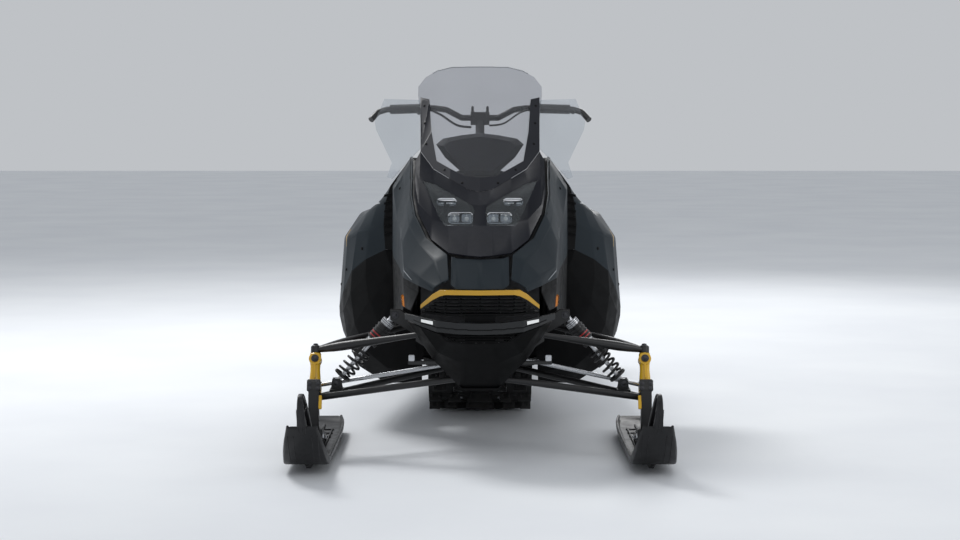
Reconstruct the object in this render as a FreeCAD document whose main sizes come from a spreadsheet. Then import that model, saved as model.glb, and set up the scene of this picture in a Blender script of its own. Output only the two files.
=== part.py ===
import FreeCAD, Part
import math
import os
from FreeCAD import Placement, Rotation, Vector

# A snowmobile at full size, in millimetres. +X is the rider's left, the front points to -Y and +Z is up.
# The origin is on the ground under the middle of the overall length.
# A station is the distance behind the tips of the ski loops, so every place is given as (x, station, z).

doc = FreeCAD.newDocument("snowmobile")
sheet = doc.addObject("Spreadsheet::Sheet", "sizes")

# name, value, what it is
SIZES = [
    ("overall_length", 3190, "ski loops to the end of the snow flap"),
    ("fit_gap", 0.3, "gap between neighbours that do not move"),
    ("pin_gap", 0.1, "radial gap round a pin"),
    ("panel_wall", 4, "wall of a body panel"),
    # Skis
    ("ski_spacing", 1077, "between the middles of the skis"),
    ("ski_width", 144, "widest part of a ski"),
    ("ski_length", 1060, "ski from loop to tail"),
    ("keel_depth", 25, "keel under the running face"),
    ("keel_width", 26, "keel at its root"),
    ("ski_bolt_station", 505, "rocking bolt of the ski"),
    ("ski_bolt_height", 71, "rocking bolt of the ski"),
    ("ski_bolt_radius", 8, "rocking bolt of the ski"),
    ("saddle_wall", 12, "ear of the ski saddle"),
    ("loop_width", 38, "hand loop across the ski"),
    ("loop_bar", 13, "hand loop thickness"),
    # Steering
    ("kingpin_station", 560, "lower ball joint"),
    ("kingpin_height", 196, "lower ball joint"),
    ("caster", 19, "kingpin leans back, degrees"),
    ("kingpin_length", 153.4, "between the ball joints"),
    ("leg_width", 26, "ski leg across"),
    ("leg_offset", 32.3, "ski leg ahead of the kingpin"),
    ("leg_depth", 23, "ski leg along the machine"),
    ("steer_arm", 100, "kingpin to tie rod joint"),
    ("steer_arm_level", 30, "underside of the steering arm above the lower ball joint"),
    ("steer_arm_plate", 14, "steering arm thickness"),
    ("rod_eye_height", 22, "tie rod eye along its pin"),
    ("rod_eye_radius", 14, "tie rod eye"),
    ("tie_rod_radius", 7, "tie rod"),
    ("tie_rod_rise", 104, "tie rods rise towards the middle"),
    ("tongue_plate", 10, "swing arm thickness"),
    ("swing_pin_radius", 9, "pin of the swing arm"),
    ("column_foot_station", 1127, "lower end of the steering column"),
    ("column_foot_height", 720, "lower end of the steering column"),
    ("bar_station", 1400, "middle of the handlebar"),
    ("bar_height", 1096, "middle of the handlebar"),
    ("column_radius", 16, "steering column tube"),
    ("bar_radius", 11, "handlebar tube"),
    ("grip_radius", 17, "handlebar grip"),
    # Front suspension
    ("arm_tube", 11, "radius of the suspension arm tubes"),
    ("ball_boss", 16, "radius of the ball joint bosses"),
    ("boss_height", 24, "ball joint boss along the kingpin"),
    ("bush_radius", 14, "inner bushes of the arms"),
    ("low_pivot_half", 39, "lower arm pivots from the middle"),
    ("low_pivot_height", 266, "lower arm pivots"),
    ("high_pivot_half", 190, "upper arm pivots from the middle"),
    ("high_pivot_height", 405, "upper arm pivots"),
    ("front_pivot_station", 472, "front bushes begin"),
    ("rear_pivot_station", 862, "rear bushes begin"),
    ("bush_length", 50, "bush between two plates"),
    ("skid_height", 232, "underside of the belly skid"),
    ("skid_wall", 5, "belly skid"),
    ("nose_half", 48, "nose bracket from the middle"),
    ("nose_height", 84.1, "nose bracket"),
    ("board_wall", 6, "running board"),
    ("well_wall", 5, "foot well"),
    ("well_deepest", 1210, "station of the foot well's lowest point"),
    ("vent_slats", 6, "slats of each side vent"),
    ("vent_pitch", 27, "between the slats of a side vent"),
    ("vent_low", 694, "lowest slat of a side vent"),
    ("well_rear", 1330, "station where the foot well meets the running board"),
    ("frame_plate", 12, "cross plates of the front frame"),
    ("rail_radius", 12, "rails of the front frame"),
    ("shock_station", 612, "front shocks"),
    ("shock_top_half", 277.5, "upper eye from the middle"),
    ("shock_top_height", 458, "upper eye"),
    ("shock_low_half", 471.5, "lower eye from the middle"),
    ("shock_low_height", 234, "lower eye"),
    ("shock_eye", 13, "shock eye radius"),
    ("shock_eye_width", 24, "shock eye along the machine"),
    ("shock_lug", 6, "plates that hold the shock eyes"),
    ("shock_body", 20, "damper tube radius"),
    ("shock_rod", 7, "damper rod radius"),
    ("spring_radius", 31, "coil spring outside"),
    ("spring_wire", 8, "coil spring wire"),
    ("spring_turns", 5, "turns of a front spring"),
    # Tunnel, track and rear suspension
    ("tunnel_half", 207, "tunnel outside from the middle"),
    ("tunnel_sheet", 3, "tunnel sheet"),
    ("tunnel_top", 586, "tunnel top"),
    ("tunnel_front", 1090, "front end of the tunnel"),
    ("tunnel_rear", 2880, "rear end of the tunnel"),
    ("tunnel_low_front", 240, "lower edge of the tunnel in front"),
    ("tunnel_low_rear", 330, "lower edge of the tunnel behind"),
    ("anchor_station", 2590, "middle of the four anchor holes behind the seat"),
    ("anchor_across", 240, "between the anchor holes across"),
    ("anchor_along", 220, "between the anchor holes along the tunnel"),
    ("anchor_radius", 5, "anchor hole"),
    ("track_width", 381, "track"),
    ("belt_thick", 6, "track belt"),
    ("lug_height", 32, "track lugs"),
    ("lug_pitch", 73, "track lugs, about"),
    ("lug_thick", 14, "track lug at its root"),
    ("driver_station", 1235, "drive axle"),
    ("driver_height", 430, "drive axle"),
    ("driver_radius", 92, "drive wheels"),
    ("carrier_station", 1960, "upper carrier wheels"),
    ("carrier_height", 395, "upper carrier wheels"),
    ("carrier_radius", 70, "upper carrier wheels"),
    ("idler_station", 2595, "rear wheels"),
    ("idler_radius", 100, "rear wheels"),
    ("bogie_radius", 62, "wheels beside the rails"),
    ("rail_front_station", 1620, "where the rails begin to rise"),
    ("rail_front_radius", 200, "rise of the rails"),
    ("rail_half", 102, "slide rails from the middle"),
    ("rail_plate", 8, "slide rail thickness"),
    ("wheel_width", 20, "wheels of the rear suspension"),
    ("axle_radius", 10, "axles of the rear suspension"),
    # Engine
    ("engine_front", 650, "front of the engine"),
    ("engine_length", 425, "engine"),
    ("engine_half", 195, "engine from the middle"),
    ("engine_height", 273, "engine"),
    # Windshield
    ("screen_station", 760, "foot of the windshield frame"),
    ("screen_base", 853, "foot of the windshield frame"),
    ("screen_rake", 0.875, "station gained for each millimetre of height"),
    ("screen_fold", 100, "where the windshield turns back, from the middle"),
    ("screen_frame", 12, "windshield frame along the machine"),
    ("screen_glass", 4, "windshield sheet"),
]

for row, (alias, value, _) in enumerate(SIZES, start=1):
    cell = "A%d" % row
    sheet.set(cell, str(value))
    sheet.setAlias(cell, alias)
doc.recompute()


class Sizes:
    """The sheet's values by name."""


d = Sizes()
for alias, _, _ in SIZES:
    setattr(d, alias, float(getattr(sheet, alias)))

NOSE_TO_ORIGIN = d.overall_length / 2
MIRROR = Vector(1, 0, 0)
ORIGIN = Vector(0, 0, 0)
ALONG_X = Vector(1, 0, 0)
ALONG_Y = Vector(0, 1, 0)
ALONG_Z = Vector(0, 0, 1)
parts = []


# Helpers that place, loft, sweep and store shapes

def point(x, station, z):
    return Vector(x, station - NOSE_TO_ORIGIN, z)


def store(label, shape):
    """Keep a finished shape as a sub-part of the document."""
    feature = doc.addObject("Part::Feature", label)
    feature.Label = label
    feature.Shape = shape
    parts.append(feature)
    return feature


def bound(kind, name, sizes, placement=None):
    """A document primitive whose sizes follow expressions on the sheet."""
    made = doc.addObject(kind, name)
    for prop, expression in sizes.items():
        made.setExpression(prop, expression)
    if placement:
        made.Placement = placement
    return made


def bound_rod(name, start, end, radius):
    """A cylinder object from start to end; its radius is an expression on the sheet."""
    line = end.sub(start)
    made = bound("Part::Cylinder", name, {"Radius": radius}, Placement(start, Rotation(ALONG_Z, line)))
    made.Height = line.Length
    return made


def united(name, pieces, bores=None):
    """One object from its pieces, with the bores cut out of it."""
    if len(pieces) > 1:
        whole = doc.addObject("Part::MultiFuse", name if bores is None else name + "_body")
        whole.Shapes = pieces
        whole.Refine = True
    else:
        whole = pieces[0]
    if bores is not None:
        cut = doc.addObject("Part::Cut", name)
        cut.Base = whole
        cut.Tool = bores
        return cut
    return whole


def finished(label, whole):
    """Name an object after its sub-part and keep it for export."""
    doc.recompute()
    whole.Label = label
    parts.append(whole)
    return whole


def both(label, whole):
    """An object and its mirror image, kept as one sub-part."""
    twin = doc.addObject("Part::Mirroring", label + "_twin")
    twin.Source = whole
    twin.Normal = MIRROR
    group = doc.addObject("Part::Compound", label)
    group.Links = [whole, twin]
    return finished(label, group)


def fuse(shapes):
    whole = shapes[0].multiFuse(shapes[1:]) if len(shapes) > 1 else shapes[0]
    return whole.removeSplitter()


def mirrored(shape):
    return shape.mirror(ORIGIN, MIRROR)


def pair(shape):
    """A shape and its twin on the other side, as solids of one sub-part."""
    return Part.makeCompound([shape, mirrored(shape)])


def rod(start, end, radius):
    line = end.sub(start)
    return Part.makeCylinder(radius, line.Length, start, line)


def tube(start, end, radius, bore):
    return rod(start, end, radius).cut(rod(start, end, bore))


def box(x_low, x_high, s_low, s_high, z_low, z_high):
    corner = point(x_low, s_low, z_low)
    return Part.makeBox(x_high - x_low, s_high - s_low, z_high - z_low, corner)


def closed(points):
    return Part.makePolygon(list(points) + [points[0]])


def rounded(points, radii):
    """A closed wire through the points, each corner an arc of its radius; a radius of 0 leaves it sharp."""
    ends = []
    for index, corner in enumerate(points):
        before = points[index - 1].sub(corner)
        after = points[(index + 1) % len(points)].sub(corner)
        if radii[index] <= 0:
            ends.append((corner, None, corner))
            continue
        half_angle = before.getAngle(after) / 2
        longest = 0.45 * min(before.Length, after.Length)
        reach = min(radii[index] / math.tan(half_angle), longest)
        radius = reach * math.tan(half_angle)
        before.normalize()
        after.normalize()
        start = corner.add(Vector(before).multiply(reach))
        end = corner.add(Vector(after).multiply(reach))
        between = before.add(after)
        middle = None
        if between.Length > 0.01:
            between.normalize()
            middle = corner.add(between.multiply(radius / math.sin(half_angle) - radius))
        ends.append((start, middle, end))
    edges = []
    for index, (start, middle, end) in enumerate(ends):
        if radii[index] > 0:
            edge = Part.Arc(start, middle, end).toShape() if middle else Part.makeLine(start, end)
            edges.append(edge)
        edges.append(Part.makeLine(end, ends[(index + 1) % len(ends)][0]))
    return Part.Wire(edges)


def loft(outlines, radii=None):
    """A solid with straight edges between like corners of its outlines, the corners rounded if radii are given."""
    if radii is None:
        return Part.makeLoft([closed(outline) for outline in outlines], True, True)
    return Part.makeLoft([rounded(outline, radii) for outline in outlines], True, True)


def inward(profile, wall, level=None):
    """An open profile moved to the right of its direction, which is its inner side.

    The end named by level, 0 or -1, stays at its own height, so that panels above each other meet flat."""
    moved = []
    for index, (a, b) in enumerate(profile):
        normals = []
        for first in (index - 1, index):
            if 0 <= first < len(profile) - 1:
                run_a = profile[first + 1][0] - profile[first][0]
                run_b = profile[first + 1][1] - profile[first][1]
                run = math.hypot(run_a, run_b)
                normals.append((run_b / run, -run_a / run))
        total_a = sum(normal[0] for normal in normals)
        total_b = sum(normal[1] for normal in normals)
        share = 1.0
        if len(normals) == 2:
            share = 1 / (1 + normals[0][0] * normals[1][0] + normals[0][1] * normals[1][1])
        moved.append((a + total_a * share * wall, b + total_b * share * wall))
    if level is not None:
        other = 1 if level == 0 else -2
        run_a = profile[other][0] - profile[level][0]
        run_b = profile[other][1] - profile[level][1]
        slide = (profile[level][1] - moved[level][1]) / run_b
        moved[level] = (moved[level][0] + run_a * slide, profile[level][1])
    return moved


def wall_radii(profile, wall, bend):
    """Corner radii of a panel's outline: bend outside, less or more the wall inside, ends sharp."""
    if bend is None:
        return None
    outer = [0]
    inner = [0]
    for before, corner, after in zip(profile, profile[1:], profile[2:]):
        turn = ((corner[0] - before[0]) * (after[1] - corner[1])
                - (corner[1] - before[1]) * (after[0] - corner[0]))
        outer.append(bend)
        inner.append(max(bend - wall, 1) if turn < 0 else bend + wall)
    return outer + [0, 0] + inner[:0:-1] + [0]


def shell_across(rows, wall, level=None, bend=None):
    """A panel from (station, [(x, z) ...]) rows, its corners rounded by the bend radius."""
    outlines = []
    for station, profile in rows:
        ring = list(profile) + inward(profile, wall, level)[::-1]
        outlines.append([point(x, station, z) for x, z in ring])
    return loft(outlines, wall_radii(rows[0][1], wall, bend))


def shell_along(rows, wall, bend=None):
    """A panel from (x, [(station, z) ...]) rows, its corners rounded by the bend radius."""
    outlines = []
    for x, profile in rows:
        ring = list(profile) + inward(profile, wall)[::-1]
        outlines.append([point(x, station, z) for station, z in ring])
    return loft(outlines, wall_radii(rows[0][1], wall, bend))


def both_sides(rows):
    """Rows given from the middle outwards, repeated on the other side."""
    return [(-x, profile) for x, profile in reversed(rows) if x > 0] + list(rows)


def whole_profile(half):
    """A half profile from the edge to the middle, carried on to the other edge."""
    return list(half) + [(-x, z) for x, z in reversed(half) if x > 0]


def solid_across(rows, bend=None):
    """A closed form from (station, [(x, z) ...]) rows of half outlines, edge points first."""
    outlines = [[point(x, station, z) for x, z in whole_profile(half)] for station, half in rows]
    corners = len(outlines[0])
    return loft(outlines, None if bend is None else [3] + [bend] * (corners - 2) + [3])


def bar_across(rows):
    """A bar from (x, station, z_low, z_high, depth) rows, symmetric about the middle."""
    outlines = []
    for x, station, z_low, z_high, depth in rows:
        outlines.append([point(x, station, z_low), point(x, station, z_high),
                         point(x, station + depth, z_high), point(x, station + depth, z_low)])
    mirror = []
    for outline in reversed(outlines[1:]):
        mirror.append([Vector(-p.x, p.y, p.z) for p in outline])
    return loft(mirror + outlines)


def plate_x(profile, x_low, x_high):
    """A plate square to X from its (station, z) outline."""
    face = Part.Face(closed([point(x_low, station, z) for station, z in profile]))
    return face.extrude(Vector(x_high - x_low, 0, 0))


def plate_y(profile, s_low, s_high):
    """A plate square to the machine's length from its (x, z) outline."""
    face = Part.Face(closed([point(x, s_low, z) for x, z in profile]))
    return face.extrude(Vector(0, s_high - s_low, 0))


def ribbon(path, width, thick):
    """A bent bar from its (station, z) path, as wide as given across X."""
    left = inward(path, -thick / 2)
    right = inward(path, thick / 2)
    return plate_x(left + right[::-1], -width / 2, width / 2)


def bent_rod(points, radius, bend):
    """A round bar through points, with arcs of one radius at its bends."""
    edges = []
    start = points[0]
    for index in range(1, len(points) - 1):
        corner = points[index]
        before = points[index - 1].sub(corner).normalize()
        after = points[index + 1].sub(corner).normalize()
        half_angle = before.getAngle(after) / 2
        reach = bend / math.tan(half_angle)
        first = corner.add(Vector(before).multiply(reach))
        last = corner.add(Vector(after).multiply(reach))
        middle_line = before.add(after).normalize()
        to_middle = bend / math.sin(half_angle) - bend
        edges.append(Part.makeLine(start, first))
        edges.append(Part.Arc(first, corner.add(middle_line.multiply(to_middle)), last).toShape())
        start = last
    edges.append(Part.makeLine(start, points[-1]))
    path = Part.Wire(edges)
    section = Part.Wire(Part.makeCircle(radius, points[0], points[1].sub(points[0])))
    return path.makePipeShell([section], True, True)


# The kingpin's own frame: u is across, v backwards and w up along the kingpin

kingpin_turn = Rotation(ALONG_X, -d.caster)
KINGPIN = kingpin_turn.multVec(ALONG_Z)
BACK = kingpin_turn.multVec(ALONG_Y)
ski_x = d.ski_spacing / 2
lower_ball = point(ski_x, d.kingpin_station, d.kingpin_height)
upper_ball = lower_ball.add(Vector(KINGPIN).multiply(d.kingpin_length))
rod_level = d.steer_arm_level + d.steer_arm_plate + d.fit_gap + d.rod_eye_height / 2


def at_kingpin(shape):
    """Move a shape from the kingpin's frame to the left wheel side's place."""
    placed = shape.copy()
    placed.Placement = Placement(lower_ball, kingpin_turn)
    return placed


def along(base, back, up):
    """A point that lies back and up from another in the kingpin's frame."""
    return base.add(Vector(BACK).multiply(back)).add(Vector(KINGPIN).multiply(up))


def local_box(u, v_low, v_high, w_low, w_high):
    return Part.makeBox(2 * u, v_high - v_low, w_high - w_low, Vector(-u, v_low, w_low))


def local_plate(profile, u):
    """A plate of half width u from its (v, w) outline."""
    face = Part.Face(closed([Vector(-u, v, w) for v, w in profile]))
    return face.extrude(Vector(2 * u, 0, 0))


# Skis

def ski():
    # station, height of the running face, width, crown above the running face
    rows = [
        (62, 166, 66, 11), (80, 140, 74, 12), (150, 72, 112, 14), (250, d.keel_depth, d.ski_width, 16),
        (400, d.keel_depth, d.ski_width, 14), (660, d.keel_depth, d.ski_width, 14),
        (960, d.keel_depth + 3, d.ski_width - 8, 20), (d.ski_length, d.keel_depth + 25, d.ski_width - 34, 10),
    ]
    outlines = []
    for station, low, width, crown in rows:
        half = width / 2
        outline = [(-half, low), (half, low), (half, low + crown * 0.6), (half * 0.72, low + crown),
                   (-half * 0.72, low + crown), (-half, low + crown * 0.6)]
        outlines.append([point(x, station, z) for x, z in outline])
    blade = loft(outlines)
    root = d.keel_depth + 6
    keel = []
    # station, height of the keel's lower edge, share of its width
    for station, low, share in [(235, 22, 0.3), (300, 0, 0.6), (860, 0, 0.6), (930, 18, 0.3)]:
        half = d.keel_width / 2
        keel.append([point(-half, station, root), point(half, station, root),
                     point(half * share, station, low), point(-half * share, station, low)])
    hand_loop = ribbon([(90, 150), (32, 205), (8, 255), (30, 276), (90, 258), (210, 170), (345, 38)],
                       d.loop_width, d.loop_bar)
    hand_loop = hand_loop.common(box(-100, 100, 0, 600, 0, 400))
    bolt = (d.ski_bolt_station, d.ski_bolt_height)
    ear_profile = [(bolt[0] - 95, 34), (bolt[0] + 140, 34), (bolt[0] + 95, 78), (bolt[0] + 32, bolt[1] + 28),
                   (bolt[0] - 28, bolt[1] + 28), (bolt[0] - 62, 78)]
    inner = d.leg_width / 2 + 0.5
    ears = plate_x(ear_profile, inner, inner + d.saddle_wall)
    ears = ears.fuse(mirrored(ears))
    whole = fuse([blade, loft(keel), hand_loop, ears])
    hole = Part.makeCylinder(d.ski_bolt_radius + d.pin_gap, 2 * d.ski_width,
                             point(-d.ski_width, bolt[0], bolt[1]), ALONG_X)
    whole = whole.cut(hole)
    whole.translate(Vector(ski_x, 0, 0))
    return whole


left_ski = ski()
store("ski_left", left_ski)
store("ski_right", mirrored(left_ski))


# Spindles, ski legs and tie rods

def spindle():
    foot = d.boss_height / 2 + d.fit_gap
    head = d.kingpin_length - d.boss_height / 2 - d.fit_gap
    # height along the kingpin, half width, half depth
    rows = [(foot, 20, 19), (foot + 46, 17, 17), (head - 26, 14, 15), (head, 17, 17)]
    outlines = []
    for level, across, deep in rows:
        corner = 0.45
        outlines.append([Vector(u * across, v * deep, level) for u, v in [
            (1, corner), (corner, 1), (-corner, 1), (-1, corner),
            (-1, -corner), (-corner, -1), (corner, -1), (1, -corner)]])
    column = loft(outlines)
    leg_seat = local_box(d.leg_width / 2, -d.leg_offset, -8, foot + 4, foot + 42)
    low = d.steer_arm_level
    high = low + d.steer_arm_plate
    arm = local_plate([(0, low), (d.steer_arm, low), (d.steer_arm, high), (0, high)], 11)
    arm_end = Part.makeCylinder(d.rod_eye_radius, d.steer_arm_plate, Vector(0, d.steer_arm, low))
    return at_kingpin(fuse([column, leg_seat, arm, arm_end]))


def ski_leg():
    bolt_back = point(0, d.ski_bolt_station, d.ski_bolt_height).sub(point(0, d.kingpin_station, d.kingpin_height))
    bolt_v = bolt_back.dot(BACK)
    bolt_w = bolt_back.dot(KINGPIN)
    back = -d.leg_offset - d.fit_gap
    front = back - d.leg_depth
    profile = [(front, 54), (back, 54), (back, -16), (bolt_v + 14, -66), (bolt_v + 22, bolt_w + 6),
               (bolt_v + 11, bolt_w - 18), (bolt_v - 11, bolt_w - 18), (bolt_v - 22, bolt_w + 6),
               (bolt_v - 27, -66), (front, -16)]
    leg = local_plate(profile, d.leg_width / 2)
    reach = d.leg_width / 2 + d.saddle_wall + 8
    bolt = Part.makeCylinder(d.ski_bolt_radius, 2 * reach, Vector(-reach, bolt_v, bolt_w), ALONG_X)
    return at_kingpin(leg.fuse(bolt))


left_spindle = spindle()
left_leg = ski_leg()
store("spindle_left", left_spindle)
store("spindle_right", mirrored(left_spindle))
store("ski_leg_left", left_leg)
store("ski_leg_right", mirrored(left_leg))

rod_outer = along(lower_ball, d.steer_arm, rod_level)
tongue_end = Vector(0, rod_outer.y, rod_outer.z + d.tie_rod_rise)
swing_centre = along(tongue_end, -d.steer_arm, 0)
eye_step = d.tongue_plate / 2 + d.fit_gap + d.rod_eye_height / 2


def tie_rod(label, outer, inner):
    pieces = [bound_rod(label + "_bar", outer, inner, "sizes.tie_rod_radius")]
    for end, eye in (("outer", outer), ("inner", inner)):
        base = along(eye, 0, -d.rod_eye_height / 2)
        pieces.append(bound("Part::Cylinder", "%s_%s_eye" % (label, end),
                            {"Radius": "sizes.rod_eye_radius", "Height": "sizes.rod_eye_height"},
                            Placement(base, kingpin_turn)))
    finished(label, united(label, pieces))


tie_rod("tie_rod_left", rod_outer, along(tongue_end, 0, eye_step))
other_outer = Vector(-rod_outer.x, rod_outer.y, rod_outer.z)
tie_rod("tie_rod_right", other_outer, along(tongue_end, 0, -eye_step))

hub_radius = d.swing_pin_radius + 10
hub = Part.makeCylinder(hub_radius, 2 * d.tongue_plate, along(swing_centre, 0, -d.tongue_plate), KINGPIN)
tongue = Part.makeBox(28, d.steer_arm, d.tongue_plate, Vector(-14, 0, -d.tongue_plate / 2))
tongue.Placement = Placement(swing_centre, kingpin_turn)
tongue_round = Part.makeCylinder(14, d.tongue_plate, along(tongue_end, 0, -d.tongue_plate / 2), KINGPIN)
swing_bore = Part.makeCylinder(d.swing_pin_radius + d.pin_gap, 100, along(swing_centre, 0, -50), KINGPIN)
store("swing_arm", fuse([hub, tongue, tongue_round]).cut(swing_bore))


# Suspension arms of the front, each an A from a ball joint to two bushes

def suspension_arm(ball, pivot_half, pivot_height, with_lug):
    tube_end = along(ball, 0, -6 if with_lug else 0)
    pieces = [Part.makeCylinder(d.ball_boss, d.boss_height, along(ball, 0, -d.boss_height / 2), KINGPIN)]
    for begin, share in ((d.front_pivot_station, 0.5), (d.rear_pivot_station, 0.72)):
        joint = point(pivot_half, begin + d.bush_length * share, pivot_height)
        pieces.append(rod(tube_end, joint, d.arm_tube))
        start = point(pivot_half, begin + d.fit_gap, pivot_height)
        pieces.append(Part.makeCylinder(d.bush_radius, d.bush_length - 2 * d.fit_gap, start, ALONG_Y))
    if with_lug:
        half = d.shock_eye_width / 2 + d.fit_gap
        low = d.shock_low_height - d.shock_eye - 16
        pieces.append(box(d.shock_low_half - 24, d.shock_low_half + 20, d.shock_station - 40,
                          d.shock_station + half + d.shock_lug, low, low + 10))
        lug = [(d.shock_low_half - 22, low), (d.shock_low_half + 18, low),
               (d.shock_low_half + 12, d.shock_low_height + 14), (d.shock_low_half - 14, d.shock_low_height + 14)]
        for side in (-half - d.shock_lug, half):
            pieces.append(plate_y(lug, d.shock_station + side, d.shock_station + side + d.shock_lug))
    return fuse(pieces)


store("upper_arms", pair(suspension_arm(upper_ball, d.high_pivot_half, d.high_pivot_height, False)))
store("lower_arms", pair(suspension_arm(lower_ball, d.low_pivot_half, d.low_pivot_height, True)))


# Front shocks and their springs

shock_low = point(d.shock_low_half, d.shock_station, d.shock_low_height)
shock_top = point(d.shock_top_half, d.shock_station, d.shock_top_height)
shock_line = shock_top.sub(shock_low)


def on_shock(share):
    return shock_low.add(Vector(shock_line).multiply(share))


def shock():
    # start and end along the shock, radius
    steps = [(0, 0.5, "sizes.shock_rod"), (0.15, 0.18, "sizes.spring_radius"), (0.45, 0.84, "sizes.shock_body"),
             (0.68, 0.72, "sizes.spring_radius"), (0.84, 1, "sizes.shock_rod + 3")]
    pieces = []
    for start, end, radius in steps:
        pieces.append(bound_rod("shock_step", on_shock(start), on_shock(end), radius))
    for eye in (shock_low, shock_top):
        start = Placement(Vector(eye.x, eye.y - d.shock_eye_width / 2, eye.z), Rotation(ALONG_Z, ALONG_Y))
        pieces.append(bound("Part::Cylinder", "shock_eye",
                            {"Radius": "sizes.shock_eye", "Height": "sizes.shock_eye_width"}, start))
    return united("shock", pieces)


def spring():
    """A coil of round wire between the two seats of the shock, its ends a gap away from them."""
    low, high = 0.18, 0.68
    wire = d.spring_wire / 2
    length = (high - low) * shock_line.Length - 2 * (wire + d.fit_gap)
    coil_radius = d.spring_radius - wire
    helix = Part.makeHelix(length / d.spring_turns, length, coil_radius)
    section = Part.Wire(Part.makeCircle(wire, Vector(coil_radius, 0, 0), ALONG_Y))
    coil = Part.Wire(helix).makePipeShell([section], True, True)
    start = on_shock(low).add(Vector(shock_line).normalize().multiply(wire + d.fit_gap))
    coil.Placement = Placement(start, Rotation(ALONG_Z, shock_line))
    return coil


both("front_shocks", shock())
store("front_springs", pair(spring()))


# Front frame that carries the arms, the shocks and the swing arm

def front_frame():
    pieces = []
    first = d.front_pivot_station
    last = d.rear_pivot_station
    plate_starts = [first - d.frame_plate, first + d.bush_length, last - d.frame_plate, last + d.bush_length]
    side = d.high_pivot_half + 16
    foot = d.low_pivot_half + 16
    low = d.skid_height + d.skid_wall + d.fit_gap
    high = d.high_pivot_height + 20
    outline = [(-foot, low), (foot, low), (foot, low + 54), (side, high - 38), (side, high), (-side, high),
               (-side, high - 38), (-foot, low + 54)]
    window = [(-36, low + 62), (36, low + 62), (side - 52, high - 42), (side - 52, high - 26),
              (-side + 52, high - 26), (-side + 52, high - 42)]
    for start in plate_starts:
        plate = plate_y(outline, start, start + d.frame_plate)
        pieces.append(plate.cut(plate_y(window, start - 1, start + d.frame_plate + 1)))
    middle = d.shock_station + 130
    hoop = plate_y(outline, middle, middle + d.frame_plate)
    pieces.append(hoop.cut(plate_y(window, middle - 1, middle + d.frame_plate + 1)))
    for x, z in [(d.low_pivot_half, d.low_pivot_height), (d.high_pivot_half, d.high_pivot_height)]:
        for sign in (-1, 1):
            pieces.append(rod(point(sign * x, first + d.bush_length, z), point(sign * x, last, z), d.rail_radius))
    beam_low = d.high_pivot_height - d.rail_radius
    pin_top = along(swing_centre, 0, (beam_low + 6 - swing_centre.z) / KINGPIN.z)
    beam_station = pin_top.y + NOSE_TO_ORIGIN
    pieces.append(box(-d.high_pivot_half, d.high_pivot_half, beam_station - 16, beam_station + 16,
                      beam_low, beam_low + 18))
    pieces.append(rod(along(swing_centre, 0, -d.tongue_plate - 6), pin_top, d.swing_pin_radius))
    pieces.append(rod(along(swing_centre, 0, d.tongue_plate + d.fit_gap), pin_top, hub_radius - 4))
    half = d.shock_eye_width / 2 + d.fit_gap
    tower = [(d.high_pivot_half - 10, d.high_pivot_height - 10), (d.high_pivot_half + 24, d.high_pivot_height - 10),
             (d.shock_top_half + 16, d.shock_top_height - 16), (d.shock_top_half + 16, d.shock_top_height + 16),
             (d.shock_top_half - 16, d.shock_top_height + 16), (d.high_pivot_half - 10, d.high_pivot_height + 18)]
    for offset in (-half - d.shock_lug, half):
        lug = plate_y(tower, d.shock_station + offset, d.shock_station + offset + d.shock_lug)
        pieces += [lug, mirrored(lug)]
    return fuse(pieces)


store("front_frame", front_frame())
gusset_outline = [(46, 258), (60, 252), (104, 296), (96, 330), (70, 326)]
gusset_front = d.front_pivot_station - d.frame_plate - d.fit_gap - 5
store("frame_gussets", pair(plate_y(gusset_outline, gusset_front, gusset_front + 5)))


# Engine block, standing on the rails of the front frame

engine = doc.addObject("Part::Box", "engine_block")
engine.Label = "engine_block"
engine.setExpression("Length", "2 * sizes.engine_half")
engine.setExpression("Width", "sizes.engine_length")
engine.setExpression("Height", "sizes.engine_height")
engine.setExpression("Placement.Base.x", "-sizes.engine_half")
engine.setExpression("Placement.Base.y", "sizes.engine_front - sizes.overall_length / 2")
engine.setExpression("Placement.Base.z", "sizes.high_pivot_height + sizes.rail_radius + sizes.fit_gap + 8")
parts.append(engine)


# Steering column, handlebar, grips and controls

column_foot = point(0, d.column_foot_station, d.column_foot_height)
bar_middle = point(0, d.bar_station, d.bar_height)
COLUMN = bar_middle.sub(column_foot).normalize()
column_head = bar_middle.sub(Vector(COLUMN).multiply(20))

# x, station behind the bar's middle, height above it
BAR_HALF = [(0, 0, 0), (66, 0, 0), (122, 6, 29), (166, 20, 35), (340, 41, 30), (372, 36, 20), (396, 8, -7)]
bar_points = []
for x, back, up in BAR_HALF:
    bar_points.append(point(x, d.bar_station + back, d.bar_height + up))
bar_path = [Vector(-p.x, p.y, p.z) for p in reversed(bar_points[1:])] + bar_points[1:]
bar = bent_rod(bar_path, d.bar_radius, 14)
riser = fuse([box(-34, 34, d.bar_station - 22, d.bar_station + 22, d.bar_height - 26, d.bar_height + 20),
              rod(column_foot, column_head, d.column_radius)])
store("handlebar", fuse([bar, riser]))

grip_line = bar_points[4].sub(bar_points[3])


def on_grip(share):
    return bar_points[3].add(Vector(grip_line).multiply(share))


sleeve_bore = d.bar_radius + d.fit_gap
grip_sleeve = bound_rod("grip_sleeve", on_grip(0.3), on_grip(0.92), "sizes.grip_radius")
grip_bore = bound_rod("grip_bore", on_grip(0.3), on_grip(0.92), "sizes.bar_radius + sizes.fit_gap")
both("grips", united("grip", [grip_sleeve], grip_bore))

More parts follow.
